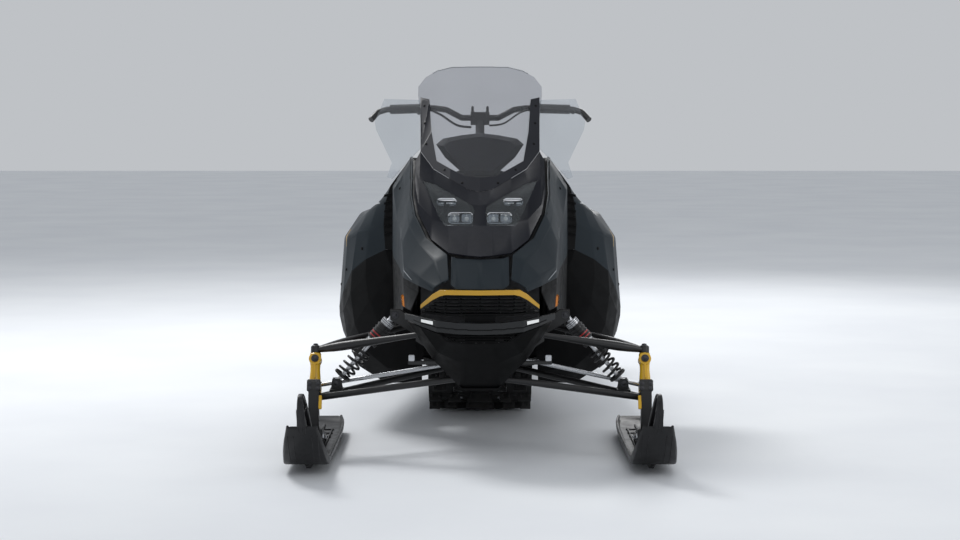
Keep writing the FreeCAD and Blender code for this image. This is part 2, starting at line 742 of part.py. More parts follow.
housing = tube(on_grip(0.1), on_grip(0.29), 21, sleeve_bore)
lever_root = on_grip(0.2).add(Vector(0, -24, -2))
brake_lever = fuse([rod(on_grip(0.2).add(Vector(0, -15, 0)), lever_root.add(Vector(0, -22, 0)), 9),
                    rod(lever_root.add(Vector(0, -20, 0)), on_grip(0.98).add(Vector(0, -52, -8)), 6),
                    Part.makeSphere(9, on_grip(0.98).add(Vector(0, -52, -8)))])
throttle_root = mirrored(rod(on_grip(0.2).add(Vector(0, 14, -8)), on_grip(0.34).add(Vector(0, 40, -16)), 7))
store("controls", Part.makeCompound([housing.fuse(brake_lever), mirrored(housing).fuse(throttle_root)]))


# Upper frame: a pyramid of tubes that carries the column over the engine, and the gauge cowl

# height of the gauge cowl's floor over the frame's pad
GAUGE_FLOOR = 906.2

def upper_frame():
    top_height = d.column_foot_height + 34
    middle = column_foot.add(Vector(COLUMN).multiply(34 / COLUMN.z))
    top_station = middle.y + NOSE_TO_ORIGIN
    leg_x = d.engine_half + 26
    radius = 12
    corner = point(leg_x, top_station, top_height)
    beside_rail = d.high_pivot_half + d.rail_radius + d.fit_gap + radius
    front_foot = point(beside_rail, d.engine_front + 140, d.high_pivot_height)
    rear_foot = point(d.tunnel_half - 14, d.tunnel_front + 220, d.tunnel_top + radius + d.fit_gap)
    pieces = [rod(point(-leg_x, top_station, top_height), corner, radius)]
    for foot in (front_foot, rear_foot):
        leg = rod(corner, foot, radius)
        pieces += [leg, mirrored(leg), Part.makeSphere(radius, foot), mirrored(Part.makeSphere(radius, foot))]
    pieces += [Part.makeSphere(radius, corner), mirrored(Part.makeSphere(radius, corner))]
    pad_front = d.screen_station + 190
    pieces.append(box(-44, 44, pad_front, pad_front + 46, 882, GAUGE_FLOOR - d.fit_gap))
    for sign in (-1, 1):
        pieces.append(rod(point(sign * 60, top_station, top_height), point(sign * 30, pad_front + 24, 892), 8))
    block = rod(middle.sub(Vector(COLUMN).multiply(22)), middle.add(Vector(COLUMN).multiply(22)), 30)
    bore = rod(middle.sub(Vector(COLUMN).multiply(60)), middle.add(Vector(COLUMN).multiply(60)),
               d.column_radius + d.pin_gap)
    return fuse(pieces + [block]).cut(bore)


store("upper_frame", upper_frame())


# Tunnel: a folded channel over the track, its lower edges rising to the rear

tunnel = doc.addObject("PartDesign::Body", "tunnel")
tunnel.Label = "tunnel"


def origin_plane(body, role):
    return next(f for f in body.Origin.OriginFeatures if f.Role == role)


section = tunnel.newObject("Sketcher::SketchObject", "tunnel_section")
section.AttachmentSupport = (origin_plane(tunnel, "XZ_Plane"), [""])
section.MapMode = "FlatFace"
inner_half = d.tunnel_half - d.tunnel_sheet
channel = [(-d.tunnel_half, d.tunnel_low_front), (-d.tunnel_half, d.tunnel_top), (d.tunnel_half, d.tunnel_top),
           (d.tunnel_half, d.tunnel_low_front), (inner_half, d.tunnel_low_front),
           (inner_half, d.tunnel_top - d.tunnel_sheet), (-inner_half, d.tunnel_top - d.tunnel_sheet),
           (-inner_half, d.tunnel_low_front)]
for (x1, z1), (x2, z2) in zip(channel, channel[1:] + channel[:1]):
    section.addGeometry(Part.LineSegment(Vector(x1, z1, 0), Vector(x2, z2, 0)), False)
pad = tunnel.newObject("PartDesign::Pad", "tunnel_pad")
pad.Profile = section
pad.setExpression("Length", "sizes.tunnel_rear - sizes.tunnel_front")
pad.Reversed = True
doc.recompute()
slope = tunnel.newObject("Sketcher::SketchObject", "tunnel_slope")
slope.AttachmentSupport = (origin_plane(tunnel, "YZ_Plane"), [""])
slope.MapMode = "FlatFace"
tunnel_length = d.tunnel_rear - d.tunnel_front
wedge = [(0, d.tunnel_low_front), (tunnel_length + 1, d.tunnel_low_rear),
         (tunnel_length + 1, d.tunnel_low_front - 1), (0, d.tunnel_low_front - 1)]
for (y1, z1), (y2, z2) in zip(wedge, wedge[1:] + wedge[:1]):
    slope.addGeometry(Part.LineSegment(Vector(y1, z1, 0), Vector(y2, z2, 0)), False)
pocket = tunnel.newObject("PartDesign::Pocket", "tunnel_edge")
pocket.Profile = slope
pocket.Type = "ThroughAll"
pocket.Midplane = True
anchors = tunnel.newObject("Sketcher::SketchObject", "tunnel_anchors")
anchors.AttachmentSupport = (origin_plane(tunnel, "XY_Plane"), [""])
anchors.MapMode = "FlatFace"
for across in (-d.anchor_across / 2, d.anchor_across / 2):
    for back in (-d.anchor_along / 2, d.anchor_along / 2):
        middle = Vector(across, d.anchor_station - d.tunnel_front + back, 0)
        anchors.addGeometry(Part.Circle(middle, ALONG_Z, d.anchor_radius), False)
holes = tunnel.newObject("PartDesign::Pocket", "tunnel_anchor_holes")
holes.Profile = anchors
holes.Type = "ThroughAll"
holes.Midplane = True
tunnel.Tip = holes
tunnel.setExpression("Placement.Base.y", "sizes.tunnel_front - sizes.overall_length / 2")
doc.recompute()
parts.append(tunnel)


# Track: a belt round four circles, with its lugs in the outline

# station, height, radius of each circle that the belt's inner face follows
idler_height = d.lug_height + d.belt_thick + d.idler_radius
rail_rise_height = d.lug_height + d.belt_thick + d.rail_front_radius
WHEELS = [
    (d.driver_station, d.driver_height, d.driver_radius),
    (d.carrier_station, d.carrier_height, d.carrier_radius),
    (d.idler_station, idler_height, d.idler_radius),
    (d.rail_front_station, rail_rise_height, d.rail_front_radius),
]


def belt_runs():
    """The belt's path as (kind, data) pieces, with the front on the left and the top run first."""
    tangents = []
    for index, (s1, z1, r1) in enumerate(WHEELS):
        s2, z2, r2 = WHEELS[(index + 1) % len(WHEELS)]
        length = math.hypot(s2 - s1, z2 - z1)
        heading = math.atan2(z2 - z1, s2 - s1)
        normal = heading + math.pi / 2 + math.asin((r2 - r1) / length)
        tangents.append(normal)
    runs = []
    for index, (s1, z1, r1) in enumerate(WHEELS):
        arrive = tangents[index - 1]
        leave = tangents[index]
        while arrive < leave:
            arrive += 2 * math.pi
        runs.append(("arc", s1, z1, r1, arrive, leave))
        s2, z2, r2 = WHEELS[(index + 1) % len(WHEELS)]
        start = (s1 + r1 * math.cos(leave), z1 + r1 * math.sin(leave))
        end = (s2 + r2 * math.cos(leave), z2 + r2 * math.sin(leave))
        runs.append(("line", start, end, leave))
    return runs


def run_length(run):
    if run[0] == "arc":
        return run[3] * (run[4] - run[5])
    return math.hypot(run[2][0] - run[1][0], run[2][1] - run[1][1])


BELT = belt_runs()
belt_length = sum(run_length(run) for run in BELT)
lug_count = round(belt_length / d.lug_pitch)


def belt_point(distance, height):
    """The (station, z) that lies a distance along the belt's inner face and a height outside it."""
    distance %= belt_length
    for run in BELT:
        length = run_length(run)
        if distance <= length:
            break
        distance -= length
    if run[0] == "arc":
        angle = run[4] - distance / run[3]
        reach = run[3] + height
        return (run[1] + reach * math.cos(angle), run[2] + reach * math.sin(angle))
    share = distance / length
    s = run[1][0] + share * (run[2][0] - run[1][0]) + height * math.cos(run[3])
    z = run[1][1] + share * (run[2][1] - run[1][1]) + height * math.sin(run[3])
    return (s, z)


def track():
    outline = []
    step = belt_length / lug_count
    tip = d.belt_thick + d.lug_height
    root = d.lug_thick / 2
    for lug in range(lug_count):
        middle = lug * step
        outline += [belt_point(middle - root, d.belt_thick), belt_point(middle - root * 0.6, tip),
                    belt_point(middle + root * 0.6, tip), belt_point(middle + root, d.belt_thick)]
        for part_way in (0.35, 0.5, 0.65):
            outline.append(belt_point(middle + step * part_way, d.belt_thick))
    side = -d.track_width / 2
    outer = Part.Face(closed([point(side, s, z) for s, z in outline]))
    edges = []
    for run in BELT:
        if run[0] == "arc":
            ends = []
            for share in (0, 0.5, 1):
                angle = run[4] + share * (run[5] - run[4])
                ends.append(point(side, run[1] + run[3] * math.cos(angle), run[2] + run[3] * math.sin(angle)))
            edges.append(Part.Arc(*ends).toShape())
        else:
            edges.append(Part.makeLine(point(side, *run[1]), point(side, *run[2])))
    inner = Part.Face(Part.Wire(edges))
    return outer.cut(inner).extrude(Vector(d.track_width, 0, 0))


store("track", track())


# Drive axle with its wheels, rear and side wheels on their axles

def wheel_set(name, station, z, radius, halves, shaft_half):
    """Wheels on their shaft; the radius is an expression on the sheet."""
    pieces = [bound_rod(name + "_shaft", point(-shaft_half, station, z), point(shaft_half, station, z),
                        "sizes.axle_radius")]
    for half in halves:
        for side in (-half, half):
            start = Placement(point(side - d.wheel_width / 2, station, z), Rotation(ALONG_Z, ALONG_X))
            pieces.append(bound("Part::Cylinder", name + "_wheel",
                                {"Radius": radius, "Height": "sizes.wheel_width"}, start))
    return united(name, pieces)


in_tunnel = d.tunnel_half - d.tunnel_sheet - d.fit_gap
finished("drive_axle", wheel_set("drive_axle", d.driver_station, d.driver_height,
                                 "sizes.driver_radius - sizes.fit_gap", [70], in_tunnel))
bogie_height = d.lug_height + d.belt_thick + d.fit_gap + d.bogie_radius
bogie_half = d.rail_half + 34
BOGIES = [1770, 2060, 2340]
wheels = [wheel_set("rear_axle", d.idler_station, idler_height, "sizes.idler_radius - sizes.fit_gap",
                    [60, bogie_half], bogie_half + 12),
          wheel_set("carrier_axle", d.carrier_station, d.carrier_height, "sizes.carrier_radius - sizes.fit_gap",
                    [bogie_half], in_tunnel)]
for station in BOGIES:
    wheels.append(wheel_set("bogie_axle", station, bogie_height, "sizes.bogie_radius", [bogie_half],
                            bogie_half + 12))
idlers = doc.addObject("Part::Compound", "idler_wheels")
idlers.Links = wheels
finished("idler_wheels", idlers)


# Slide rails, joined by cross tubes

def rails():
    low = d.lug_height + d.belt_thick + d.fit_gap
    front = d.rail_front_station
    centre = rail_rise_height
    inner = d.rail_front_radius - d.fit_gap
    under = []
    over = []
    for degrees in (52, 34, 17, 0):
        angle = math.radians(degrees)
        under.append((front - inner * math.sin(angle), centre - inner * math.cos(angle)))
        over.append((front - (inner - 58) * math.sin(angle), centre - (inner - 58) * math.cos(angle)))
    end = d.idler_station + 16
    profile = under + [(end - 40, low), (end, idler_height - 20), (end, idler_height + 18), (end - 60, idler_height + 18),
                       (end - 190, low + 58)] + over[::-1]
    pieces = []
    for sign in (-1, 1):
        middle = sign * d.rail_half
        pieces.append(plate_x(profile, middle - d.rail_plate / 2, middle + d.rail_plate / 2))
    holes = [(d.idler_station, idler_height)] + [(station, bogie_height) for station in BOGIES]
    for station, z in holes:
        bore = Part.makeCylinder(d.axle_radius + d.fit_gap, 4 * d.rail_half, point(-2 * d.rail_half, station, z), ALONG_X)
        pieces = [piece.cut(bore) for piece in pieces]
    for station in (front + 40, 2200):
        pieces.append(rod(point(-d.rail_half, station, low + 36), point(d.rail_half, station, low + 36), 12))
    return fuse(pieces)


store("slide_rails", rails())


# Arms and shocks between the tunnel and the rails

def rear_arms():
    low = d.lug_height + d.belt_thick + d.fit_gap + 36
    reach = d.rail_half - d.rail_plate / 2 - 20
    solids = []
    # tunnel station and height, rail station
    for top_station, top_height, foot_station in [(1440, 400, d.rail_front_station + 40), (d.carrier_station, d.carrier_height, 2200)]:
        bore = 12 + d.fit_gap
        cross_low = tube(point(-reach, foot_station, low), point(reach, foot_station, low), 20, bore)
        head_bore = d.axle_radius + d.fit_gap if top_station == d.carrier_station else 1
        head_half = bogie_half - d.wheel_width / 2 - 4 if top_station == d.carrier_station else in_tunnel
        head = rod(point(-head_half, top_station, top_height), point(head_half, top_station, top_height), 16)
        pieces = [cross_low, head]
        for x in (-reach + 12, reach - 12):
            leg = rod(point(x, foot_station, low), point(x, top_station, top_height), 10)
            pieces.append(leg)
        solid = fuse(pieces)
        solid = solid.cut(rod(point(-300, foot_station, low), point(300, foot_station, low), bore))
        if head_bore > 1:
            solid = solid.cut(rod(point(-300, top_station, top_height), point(300, top_station, top_height), head_bore))
        solids.append(solid)
    return Part.makeCompound(solids)


store("rear_suspension_arms", rear_arms())


# Running boards, from the foot wells to the rear

board_inner = d.tunnel_half + d.fit_gap


def board_floor(station):
    """Height of the running board's floor, which follows the tunnel's lower edge."""
    rise = (d.tunnel_low_rear - d.tunnel_low_front) / (d.tunnel_rear - d.tunnel_front)
    return d.tunnel_low_front + (station - d.tunnel_front) * rise + 8


def running_board():
    rows = []
    for station, outer in [(d.well_rear + d.fit_gap, 478), (1560, 452), (2650, 330)]:
        floor = board_floor(station)
        rows.append((station, [(outer, floor + 26), (outer - 26, floor), (board_inner, floor)]))
    return shell_across(rows, d.board_wall)


store("running_boards", pair(running_board()))


# Seat, tank cover, tail lamp, flap and rear bumper

on_tunnel = d.tunnel_top + d.fit_gap
# station, then half outline from the lower edge to the top
SEAT = [
    (1486, [(125, on_tunnel), (152, 660), (140, 790), (60, 812)]),
    (1600, [(140, on_tunnel), (172, 660), (160, 768), (70, 782)]),
    (1900, [(150, on_tunnel), (190, 680), (176, 772), (80, 786)]),
    (2150, [(150, on_tunnel), (184, 690), (168, 800), (80, 818)]),
    (2330, [(130, on_tunnel), (156, 690), (146, 784), (70, 800)]),
]
store("seat", solid_across(SEAT, 45))
TANK = [
    (1200, [(120, on_tunnel), (150, 640), (122, 716), (60, 738)]),
    (1330, [(150, on_tunnel), (178, 700), (152, 846), (80, 908)]),
    (1400, [(150, on_tunnel), (186, 712), (150, 852), (72, 902)]),
    (1482, [(125, on_tunnel), (160, 680), (142, 800), (62, 830)]),
]
store("tank_cover", solid_across(TANK, 35))
LAMP = [
    (2790, [(90, on_tunnel), (96, 612), (84, 640)]),
    (2862, [(88, on_tunnel), (92, 612), (80, 632)]),
]
store("tail_lamp", solid_across(LAMP, 8))
flap_front = d.tunnel_rear + d.fit_gap + 3
flap_path = [(flap_front, d.tunnel_top), (flap_front, d.tunnel_top - 24), (2944, 520), (3024, 430),
             (3098, 310), (3150, 200), (3187, 110)]
store("snow_flap", ribbon(flap_path, 2 * inner_half, 6))
rear_tube = 12
side_x = d.tunnel_half + d.fit_gap + rear_tube
rear_points = [point(side_x, 2420, 560), point(side_x, 2700, 600), point(side_x, 2900, 652), point(side_x - 80, 2960, 668)]
rear_path = rear_points + [Vector(-p.x, p.y, p.z) for p in reversed(rear_points)]
store("rear_bumper", bent_rod(rear_path, rear_tube, 40))


# Belly pan: the chin under the bumper and the skid along the bottom

# station, half profile from the upper edge to the middle
CHIN = [
    (338, [(128, 422), (104, 398), (40, 390)]),
    (384, [(190, 440), (132, 358), (50, 322)]),
    (450, [(232, 452), (152, 330), (60, 236)]),
]
SKID = [
    (440, [(68, d.skid_height + 9), (60, d.skid_height)]),
    (930, [(74, d.skid_height + 9), (62, d.skid_height)]),
    (1086, [(206, d.skid_height + 30), (190, d.skid_height)]),
]
chin = shell_across([(station, whole_profile(half)) for station, half in CHIN], d.panel_wall, None, 30)
skid = shell_across([(station, whole_profile(half)) for station, half in SKID], d.skid_wall)
store("belly_pan", fuse([chin, skid]))


# Bumper, its lamps, the grille and its trim, all curved across the nose

# x, station, lower edge, upper edge, depth
BUMPER = [(0, 300, 424, 459, 34), (70, 302, 426, 461, 34), (137, 322, 431, 467, 34), (190, 366, 446, 474, 34),
          (239, 424, 462, 480, 26)]
store("front_bumper", bar_across(BUMPER))


def bumper_front(x):
    """Station of the bumper's front face."""
    for (x1, s1, *_), (x2, s2, *_) in zip(BUMPER, BUMPER[1:]):
        if x1 <= x <= x2:
            return s1 + (s2 - s1) * (x - x1) / (x2 - x1)


lamp_outline = []
# x, lower edge, upper edge
for x, low, high in [(148, 453, 464), (186, 459, 468)]:
    back = bumper_front(x) - d.fit_gap
    lamp_outline.append([point(x, back - 3, low), point(x, back - 3, high), point(x, back, high), point(x, back, low)])
store("bumper_lamps", pair(loft(lamp_outline)))
TRIM = [(0, 336, 545, 559.5, 20), (108, 340, 546, 560.5, 20), (126, 352, 541, 560, 20), (150, 372, 527, 545, 20),
        (189, 408, 496, 508, 16)]
store("grille_trim", bar_across(TRIM))


def grille():
    pieces = []
    slat_depth = 26
    for low in (492, 503, 514, 525, 536):
        reach = 118 + (536 - low) * 1.3
        rows = [(0, 342, low, low + 5, slat_depth), (108, 347, low, low + 5, slat_depth),
                (reach, 347 + (reach - 108) * 0.85, low, low + 5, slat_depth)]
        pieces.append(bar_across(rows))
    for x, top in ((0, 544.7), (60, 544.7), (108, 544.7), (142, 514)):
        station = 342 + x * 0.05 + max(0, x - 108) * 0.8
        for sign in (-1, 1):
            pieces.append(box(sign * x - 3, sign * x + 3, station + 8, station + slat_depth, 484, top))
    base = [(0, 342, 480, 486, 40), (108, 347, 480, 486, 40), (186, 410, 482, 488, 40)]
    pieces.append(bar_across(base))
    return fuse(pieces)


store("grille", grille())


# Hood: the centre panel, the cowls on both sides and the headlight mask

CENTRE = [
    (0, [(350, 562.7), (438, 651)]),
    (74, [(352, 563.6), (446, 654)]),
    (92, [(368, 576), (452, 660)]),
]
store("hood_centre", shell_along(both_sides(CENTRE), d.panel_wall))

# station, outer profile from the mask's edge to the lower edge
COWL = [
    (386, [(100, 592), (122, 582), (147, 566), (151, 552)]),
    (455, [(106, 666), (146, 645), (196, 592), (198, 566)]),
    (560, [(175, 712), (196, 690), (246, 618), (249, 582)]),
    (650, [(215, 784), (232, 748), (256, 690), (257, 588)]),
    (740, [(229, 846), (244, 800), (266, 716), (266, 596)]),
    (850, [(230, 915), (254, 862), (282, 770), (282, 610)]),
    (930, [(232, 958), (262, 906), (296, 852), (297, 625)]),
    (1050, [(236, 965), (268, 920), (303, 862), (305, 640)]),
]
store("cowls", pair(shell_across(COWL, d.panel_wall, -1, 16)))

# station, lower edge of the black side panel and its distance from the middle
SIDE_EDGE = [(455, 222, 486), (560, 244, 484), (650, 252, 484), (740, 262, 440), (850, 278, 425),
             (930, 290, 400), (1050, 300, 320)]
side_rows = []
for (station, profile), (_, low_x, low_z) in zip(COWL[1:], SIDE_EDGE):
    top_x, top_z = profile[-1]
    side_rows.append((station, [(top_x, top_z - d.fit_gap), (top_x, top_z - 20), (low_x, low_z)]))
store("lower_sides", pair(shell_across(side_rows, d.panel_wall, 0, 10)))


def screen_station(x, z):
    """The windshield's front face: raked, and folded back away from the middle."""
    x = abs(x)
    fold = 0.10 * min(x, d.screen_fold) + 0.42 * max(0, x - d.screen_fold)
    return d.screen_station + d.screen_rake * (z - d.screen_base) + fold


# x, then lower edge, two knees and upper edge as (station, z); the upper edge follows the windshield frame
FRAME_FOOT = [(0, 853), (40, 861), (100, 894.8), (157, 927), (203, 985)]
MASK_KNEES = {
    0: [(440, 660), (615, 748), (690, 812)],
    40: [(447, 663), (618, 749), (693, 815)],
    100: [(458, 671), (628, 753), (704, 825)],
    157: [(545, 708), (635, 768), (724, 853)],
    203: [(645, 790), (690, 815), (790, 895)],
}
mask_rows = []
for x, z in FRAME_FOOT:
    mask_rows.append((x, MASK_KNEES[x] + [(screen_station(x, z - 1), z - 1)]))
mask_rows.append((218, [(740, 850), (790, 882), (850, 920), (905, 956)]))
mask_shell = shell_along(both_sides(mask_rows), d.panel_wall, 30)

HEADLIGHT = [(190, 890), (147, 877), (23, 810), (18, 794), (23, 748), (115, 748), (136, 779)]
headlight_face = Part.Face(closed([point(x, d.screen_station - 250, z) for x, z in HEADLIGHT]))


def headlight_prism(grow):
    face = headlight_face if grow == 0 else headlight_face.makeOffset2D(grow, 2)
    return face.extrude(Vector(0, 400, 0))


window = headlight_prism(d.fit_gap)
store("headlight_mask", mask_shell.cut(window).cut(mirrored(window)))
lens = mask_shell.common(headlight_prism(0))
store("headlight_lenses", pair(lens))


# Headlight unit: lamps behind the lenses, on a carrier that stands on the engine and holds the hood panels

def under_mask():
    """The room under the headlight mask, a gap away from its inner face."""
    outlines = []
    for x, profile in both_sides(mask_rows):
        inner = inward(profile, d.panel_wall + d.fit_gap)
        ring = inner + [(inner[-1][0], 500), (inner[0][0], 500)]
        outlines.append([point(x, station, z) for station, z in ring])
    return loft(outlines)


def between_cowls():
    """The room between the cowls, a gap away from their inner faces."""
    outlines = []
    for station, profile in COWL:
        inner = inward(profile, d.panel_wall + d.fit_gap)
        ring = inner + [(-x, z) for x, z in reversed(inner)]
        outlines.append([point(x, station, z) for x, z in ring])
    return loft(outlines)


def headlight_unit():
    floor = d.high_pivot_height + d.rail_radius + d.fit_gap + 8 + d.engine_height + d.fit_gap
    back = 692
    deep = 14
    carrier = box(-300, 300, back, back + deep, floor, floor + 16).common(between_cowls())
    post = box(-12, 12, back, back + deep, floor, 900)
    lamps = [post]
    # middle across, middle height, half width, half height, front
    for x, z, half, tall, front in [(44, 771, 17, 15, 666), (84, 771, 17, 15, 662), (110, 822, 26, 9, 712)]:
        for sign in (-1, 1):
            lamps.append(box(sign * x - half, sign * x + half, front, front + 46, z - tall, z + tall))
    for sign in (-1, 1):
        lamps.append(box(min(0, sign * 136), max(0, sign * 136), back, back + deep, 758, 784))
        lamps.append(box(sign * 110 - 10, sign * 110 + 10, back, back + 40, 770, 824))
    return fuse([fuse(lamps).common(under_mask()), carrier])


store("headlight_unit", headlight_unit())


# Nose bracket: carries the bumper, the grille and the belly pan in front of the frame

NOSE_LOW = 395.6
nose_back = d.front_pivot_station - d.frame_plate - d.fit_gap
nose_front = BUMPER[0][1] + BUMPER[0][4] + 2 + d.fit_gap
nose = bound("Part::Box", "nose_bracket", {"Length": "2 * sizes.nose_half", "Height": "sizes.nose_height"},
             Placement(point(-d.nose_half, nose_front, NOSE_LOW), Rotation()))
nose.Width = nose_back - nose_front
finished("nose_bracket", nose)


# Windshield frame, windshield and side deflectors

FRAME_INNER = [(0, 899), (54, 905), (100, 928), (147, 953), (166, 1050)]
FRAME_OUTER = FRAME_FOOT
POST_TOP = ((207, 1169), (176, 1162))
frame_rows = list(zip(FRAME_OUTER, FRAME_INNER)) + [POST_TOP]
outlines = []
for (x1, z1), (x2, z2) in frame_rows:
    front_outer = point(x1, screen_station(x1, z1), z1)
    front_inner = point(x2, screen_station(x2, z2), z2)
    back = Vector(0, d.screen_frame, 0)
    outlines.append([front_outer, front_inner, front_inner.add(back), front_outer.add(back)])
frame_mirror = [[Vector(-p.x, p.y, p.z) for p in outline] for outline in reversed(outlines[1:])]
store("windshield_frame", loft(frame_mirror + outlines))

# x, lower edge, upper edge
GLASS = [(0, 880, 1276), (d.screen_fold, 906, 1274), (150, 936, 1262), (190, 975, 1240), (216, 1176, 1206)]
behind = d.screen_frame + d.fit_gap
glass_outlines = []
for x, low, high in GLASS:
    glass_outlines.append([point(x, screen_station(x, low) + behind, low), point(x, screen_station(x, high) + behind, high),
                           point(x, screen_station(x, high) + behind + d.screen_glass, high),
                           point(x, screen_station(x, low) + behind + d.screen_glass, low)])
glass_mirror = [[Vector(-p.x, p.y, p.z) for p in outline] for outline in reversed(glass_outlines[1:])]
store("windshield", loft(glass_mirror + glass_outlines))

DEFLECTOR = [(207.5, 1160), (338, 1164), (370, 1083), (364, 1055), (303, 945), (318, 896), (300, 890), (250, 945),
             (204, 992)]


def deflector_station(x, z):
    return screen_station(204, z) + 0.9 * (x - 204)


face = Part.Face(closed([point(x, deflector_station(x, z), z) for x, z in DEFLECTOR]))
store("side_deflectors", pair(face.extrude(Vector(0, 4, 0))))


# Gauge cowl: a domed shield behind the windshield

def gauge_cowl():
    outline = [(54, 905), (120, 962), (151, 1006), (128, 1026), (62, 1038), (0, 1045)]
    ring = outline + [(-x, z) for x, z in reversed(outline) if x > 0]
    outlines = []
    # station behind the windshield, share of the outline about its middle
    for back, share in [(95, 0.82), (120, 1.0), (200, 0.94)]:
        loop = []
        for x, z in ring:
            level = 975 + (z - 975) * share
            loop.append(point(x * share, d.screen_station + d.screen_rake * (level - d.screen_base) + back, level))
        outlines.append(loop)
    return loft(outlines)


store("gauge_cowl", gauge_cowl())


# Side panels and foot wells

# station, outer profile from the knee's edge to the lower edge
SIDE = [
    (1064, [(312, 862), (328, 806), (336, 730), (330, 640)]),
    (1100, [(322, 846), (360, 792), (388, 708), (400, 604)]),
    (1150, [(328, 826), (390, 774), (434, 692), (452, 560)]),
    (1210, [(340, 793), (414, 752), (470, 676), (486, 484)]),
    (1300, [(350, 788), (428, 758), (487, 670), (507, 420)]),
    (1400, [(356, 770), (430, 740), (482, 650), (498, 420)]),
]
store("side_panels", pair(shell_across(SIDE, d.panel_wall, -1, 40)))
cowl_end, cowl_rear = COWL[-1]
panel_front, panel_edge = SIDE[0]


def side_vent():
    """The black strip between the hood and the side panel, with its slats."""
    strip = shell_across([(cowl_end + d.fit_gap, cowl_rear), (panel_front - d.fit_gap, panel_edge)], d.panel_wall)
    pieces = [strip]
    root = cowl_rear[2][0] - d.panel_wall / 2
    for index in range(int(d.vent_slats)):
        low = d.vent_low + index * d.vent_pitch
        slat = [(root, low), (root, low + 9), (root + 32, low + 3), (root + 32, low - 5)]
        pieces.append(plate_y(slat, cowl_end + 1, panel_front - 1))
    return fuse(pieces)


store("side_vents", pair(side_vent()))

# The foot well is a bowl: closed in front and below, open to the rider and to the tunnel
# station, outer profile from below the side panel down and in to the tunnel
floor_meet = board_floor(d.well_rear)
WELL = [
    (1064, [(330, 640), (320, 604), (306, 578), (284, 560), (250, 552), (board_inner, 550)]),
    (1100, [(400, 604), (402, 540), (390, 456), (352, 380), (290, 330), (board_inner, 322)]),
    (1150, [(452, 560), (458, 480), (444, 372), (404, 276), (326, 212), (board_inner, 205)]),
    (d.well_deepest, [(486, 484), (488, 410), (472, 305), (434, 215), (336, 152), (board_inner, 156)]),
    (1300, [(507, 420), (506, 386), (494, 330), (468, 268), (412, 226), (board_inner, 228)]),
    (d.well_rear, [(504.3, 420), (503, 390), (492, 334), (478, floor_meet + 26), (452, floor_meet),
                   (board_inner, floor_meet)]),
]


def foot_well():
    outer = []
    inner = []
    for station, profile in WELL:
        top = profile[0][1] - d.fit_gap
        edge = [(profile[0][0], top)] + profile[1:]
        outer.append([point(x, station, z) for x, z in edge + [(board_inner, top)]])
        lining = inward(edge, d.well_wall)
        lining[0] = (lining[0][0], top + 40)
        lining[-1] = (board_inner - 10, lining[-1][1])
        back = station + (d.well_wall if station < d.well_deepest + 1 else 0)
        inner.append([point(x, back, z) for x, z in lining + [(board_inner - 10, top + 40)]])
    beyond = [Vector(p.x, p.y + 5, p.z) for p in inner[-1]]
    radii = [0, 30, 30, 30, 30, 0, 0]
    lining_radii = [0, 26, 26, 26, 26, 0, 0]
    return loft(outer, radii).cut(loft(inner[:-1] + [beyond], lining_radii))


store("foot_wells", pair(foot_well()))


def side_surface(station, z):
    """How far the black side panel's outer face lies from the middle, below its fold."""
    for (s1, first), (s2, last) in zip(side_rows, side_rows[1:]):
        if s1 <= station <= s2:
            share = (station - s1) / (s2 - s1)
            fold_x, fold_z, low_x, low_z = [
                a + (b - a) * share for a, b in zip(first[1] + first[2], last[1] + last[2])]
            return low_x + (fold_x - low_x) * (z - low_z) / (fold_z - low_z)


marker_rows = []
for station in (572, 640):
    back = [side_surface(station, z) + d.fit_gap for z in (486, 522)]
    marker_rows.append([point(x, station, z) for x, z in [
        (back[0], 486), (back[0] + 6, 490), (back[1] + 6, 517), (back[1], 522)]])
store("marker_lamps", pair(loft(marker_rows)))


# Every object must have worked before anything is written

doc.recompute()
for item in doc.Objects:
    for state in item.State:
        if state in ("Invalid", "Error"):
            raise RuntimeError("%s is %s" % (item.Label, state))
for part in parts:
    if part.Shape.isNull() or not part.Shape.isValid():
        raise RuntimeError("%s has no valid shape" % part.Label)

os.makedirs("parts", exist_ok=True)
for part in parts:
    part.Shape.exportStep("parts/%s.step" % part.Label)
print("wrote %d parts" % len(parts))
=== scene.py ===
import bpy, bmesh, math
from mathutils import Vector, Matrix
from mathutils.bvhtree import BVHTree


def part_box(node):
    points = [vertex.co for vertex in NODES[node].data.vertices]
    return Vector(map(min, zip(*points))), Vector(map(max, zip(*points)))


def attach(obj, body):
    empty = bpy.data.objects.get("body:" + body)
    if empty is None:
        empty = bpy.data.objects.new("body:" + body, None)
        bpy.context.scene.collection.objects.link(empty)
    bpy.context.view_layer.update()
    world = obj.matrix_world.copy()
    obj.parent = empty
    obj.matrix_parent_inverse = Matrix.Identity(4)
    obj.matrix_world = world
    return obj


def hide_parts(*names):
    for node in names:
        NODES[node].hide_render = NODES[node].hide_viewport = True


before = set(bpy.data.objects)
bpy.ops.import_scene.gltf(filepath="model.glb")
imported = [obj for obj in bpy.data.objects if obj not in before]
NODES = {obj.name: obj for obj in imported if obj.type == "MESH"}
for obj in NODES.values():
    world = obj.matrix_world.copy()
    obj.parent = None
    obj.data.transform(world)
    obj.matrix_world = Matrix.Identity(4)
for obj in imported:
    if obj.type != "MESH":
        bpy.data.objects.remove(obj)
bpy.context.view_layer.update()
HALF_LENGTH = 1.595
SIDES = ((1, "left"), (-1, "right"))
# places in millimetres: across, back from the ski loops and up
SKI_X = 538.5
ROCK_BOLT = (505, 71)
LOWER_BALL = (560, 196)
SHOCK_FOOT = (471.5, 612, 234)
SHOCK_TOP = (277.5, 612, 458)


def at(x, station, z):
    """A point from millimetres: across, back from the ski loops and up."""
    return Vector((x / 1000, station / 1000 - HALF_LENGTH, z / 1000))


# Materials

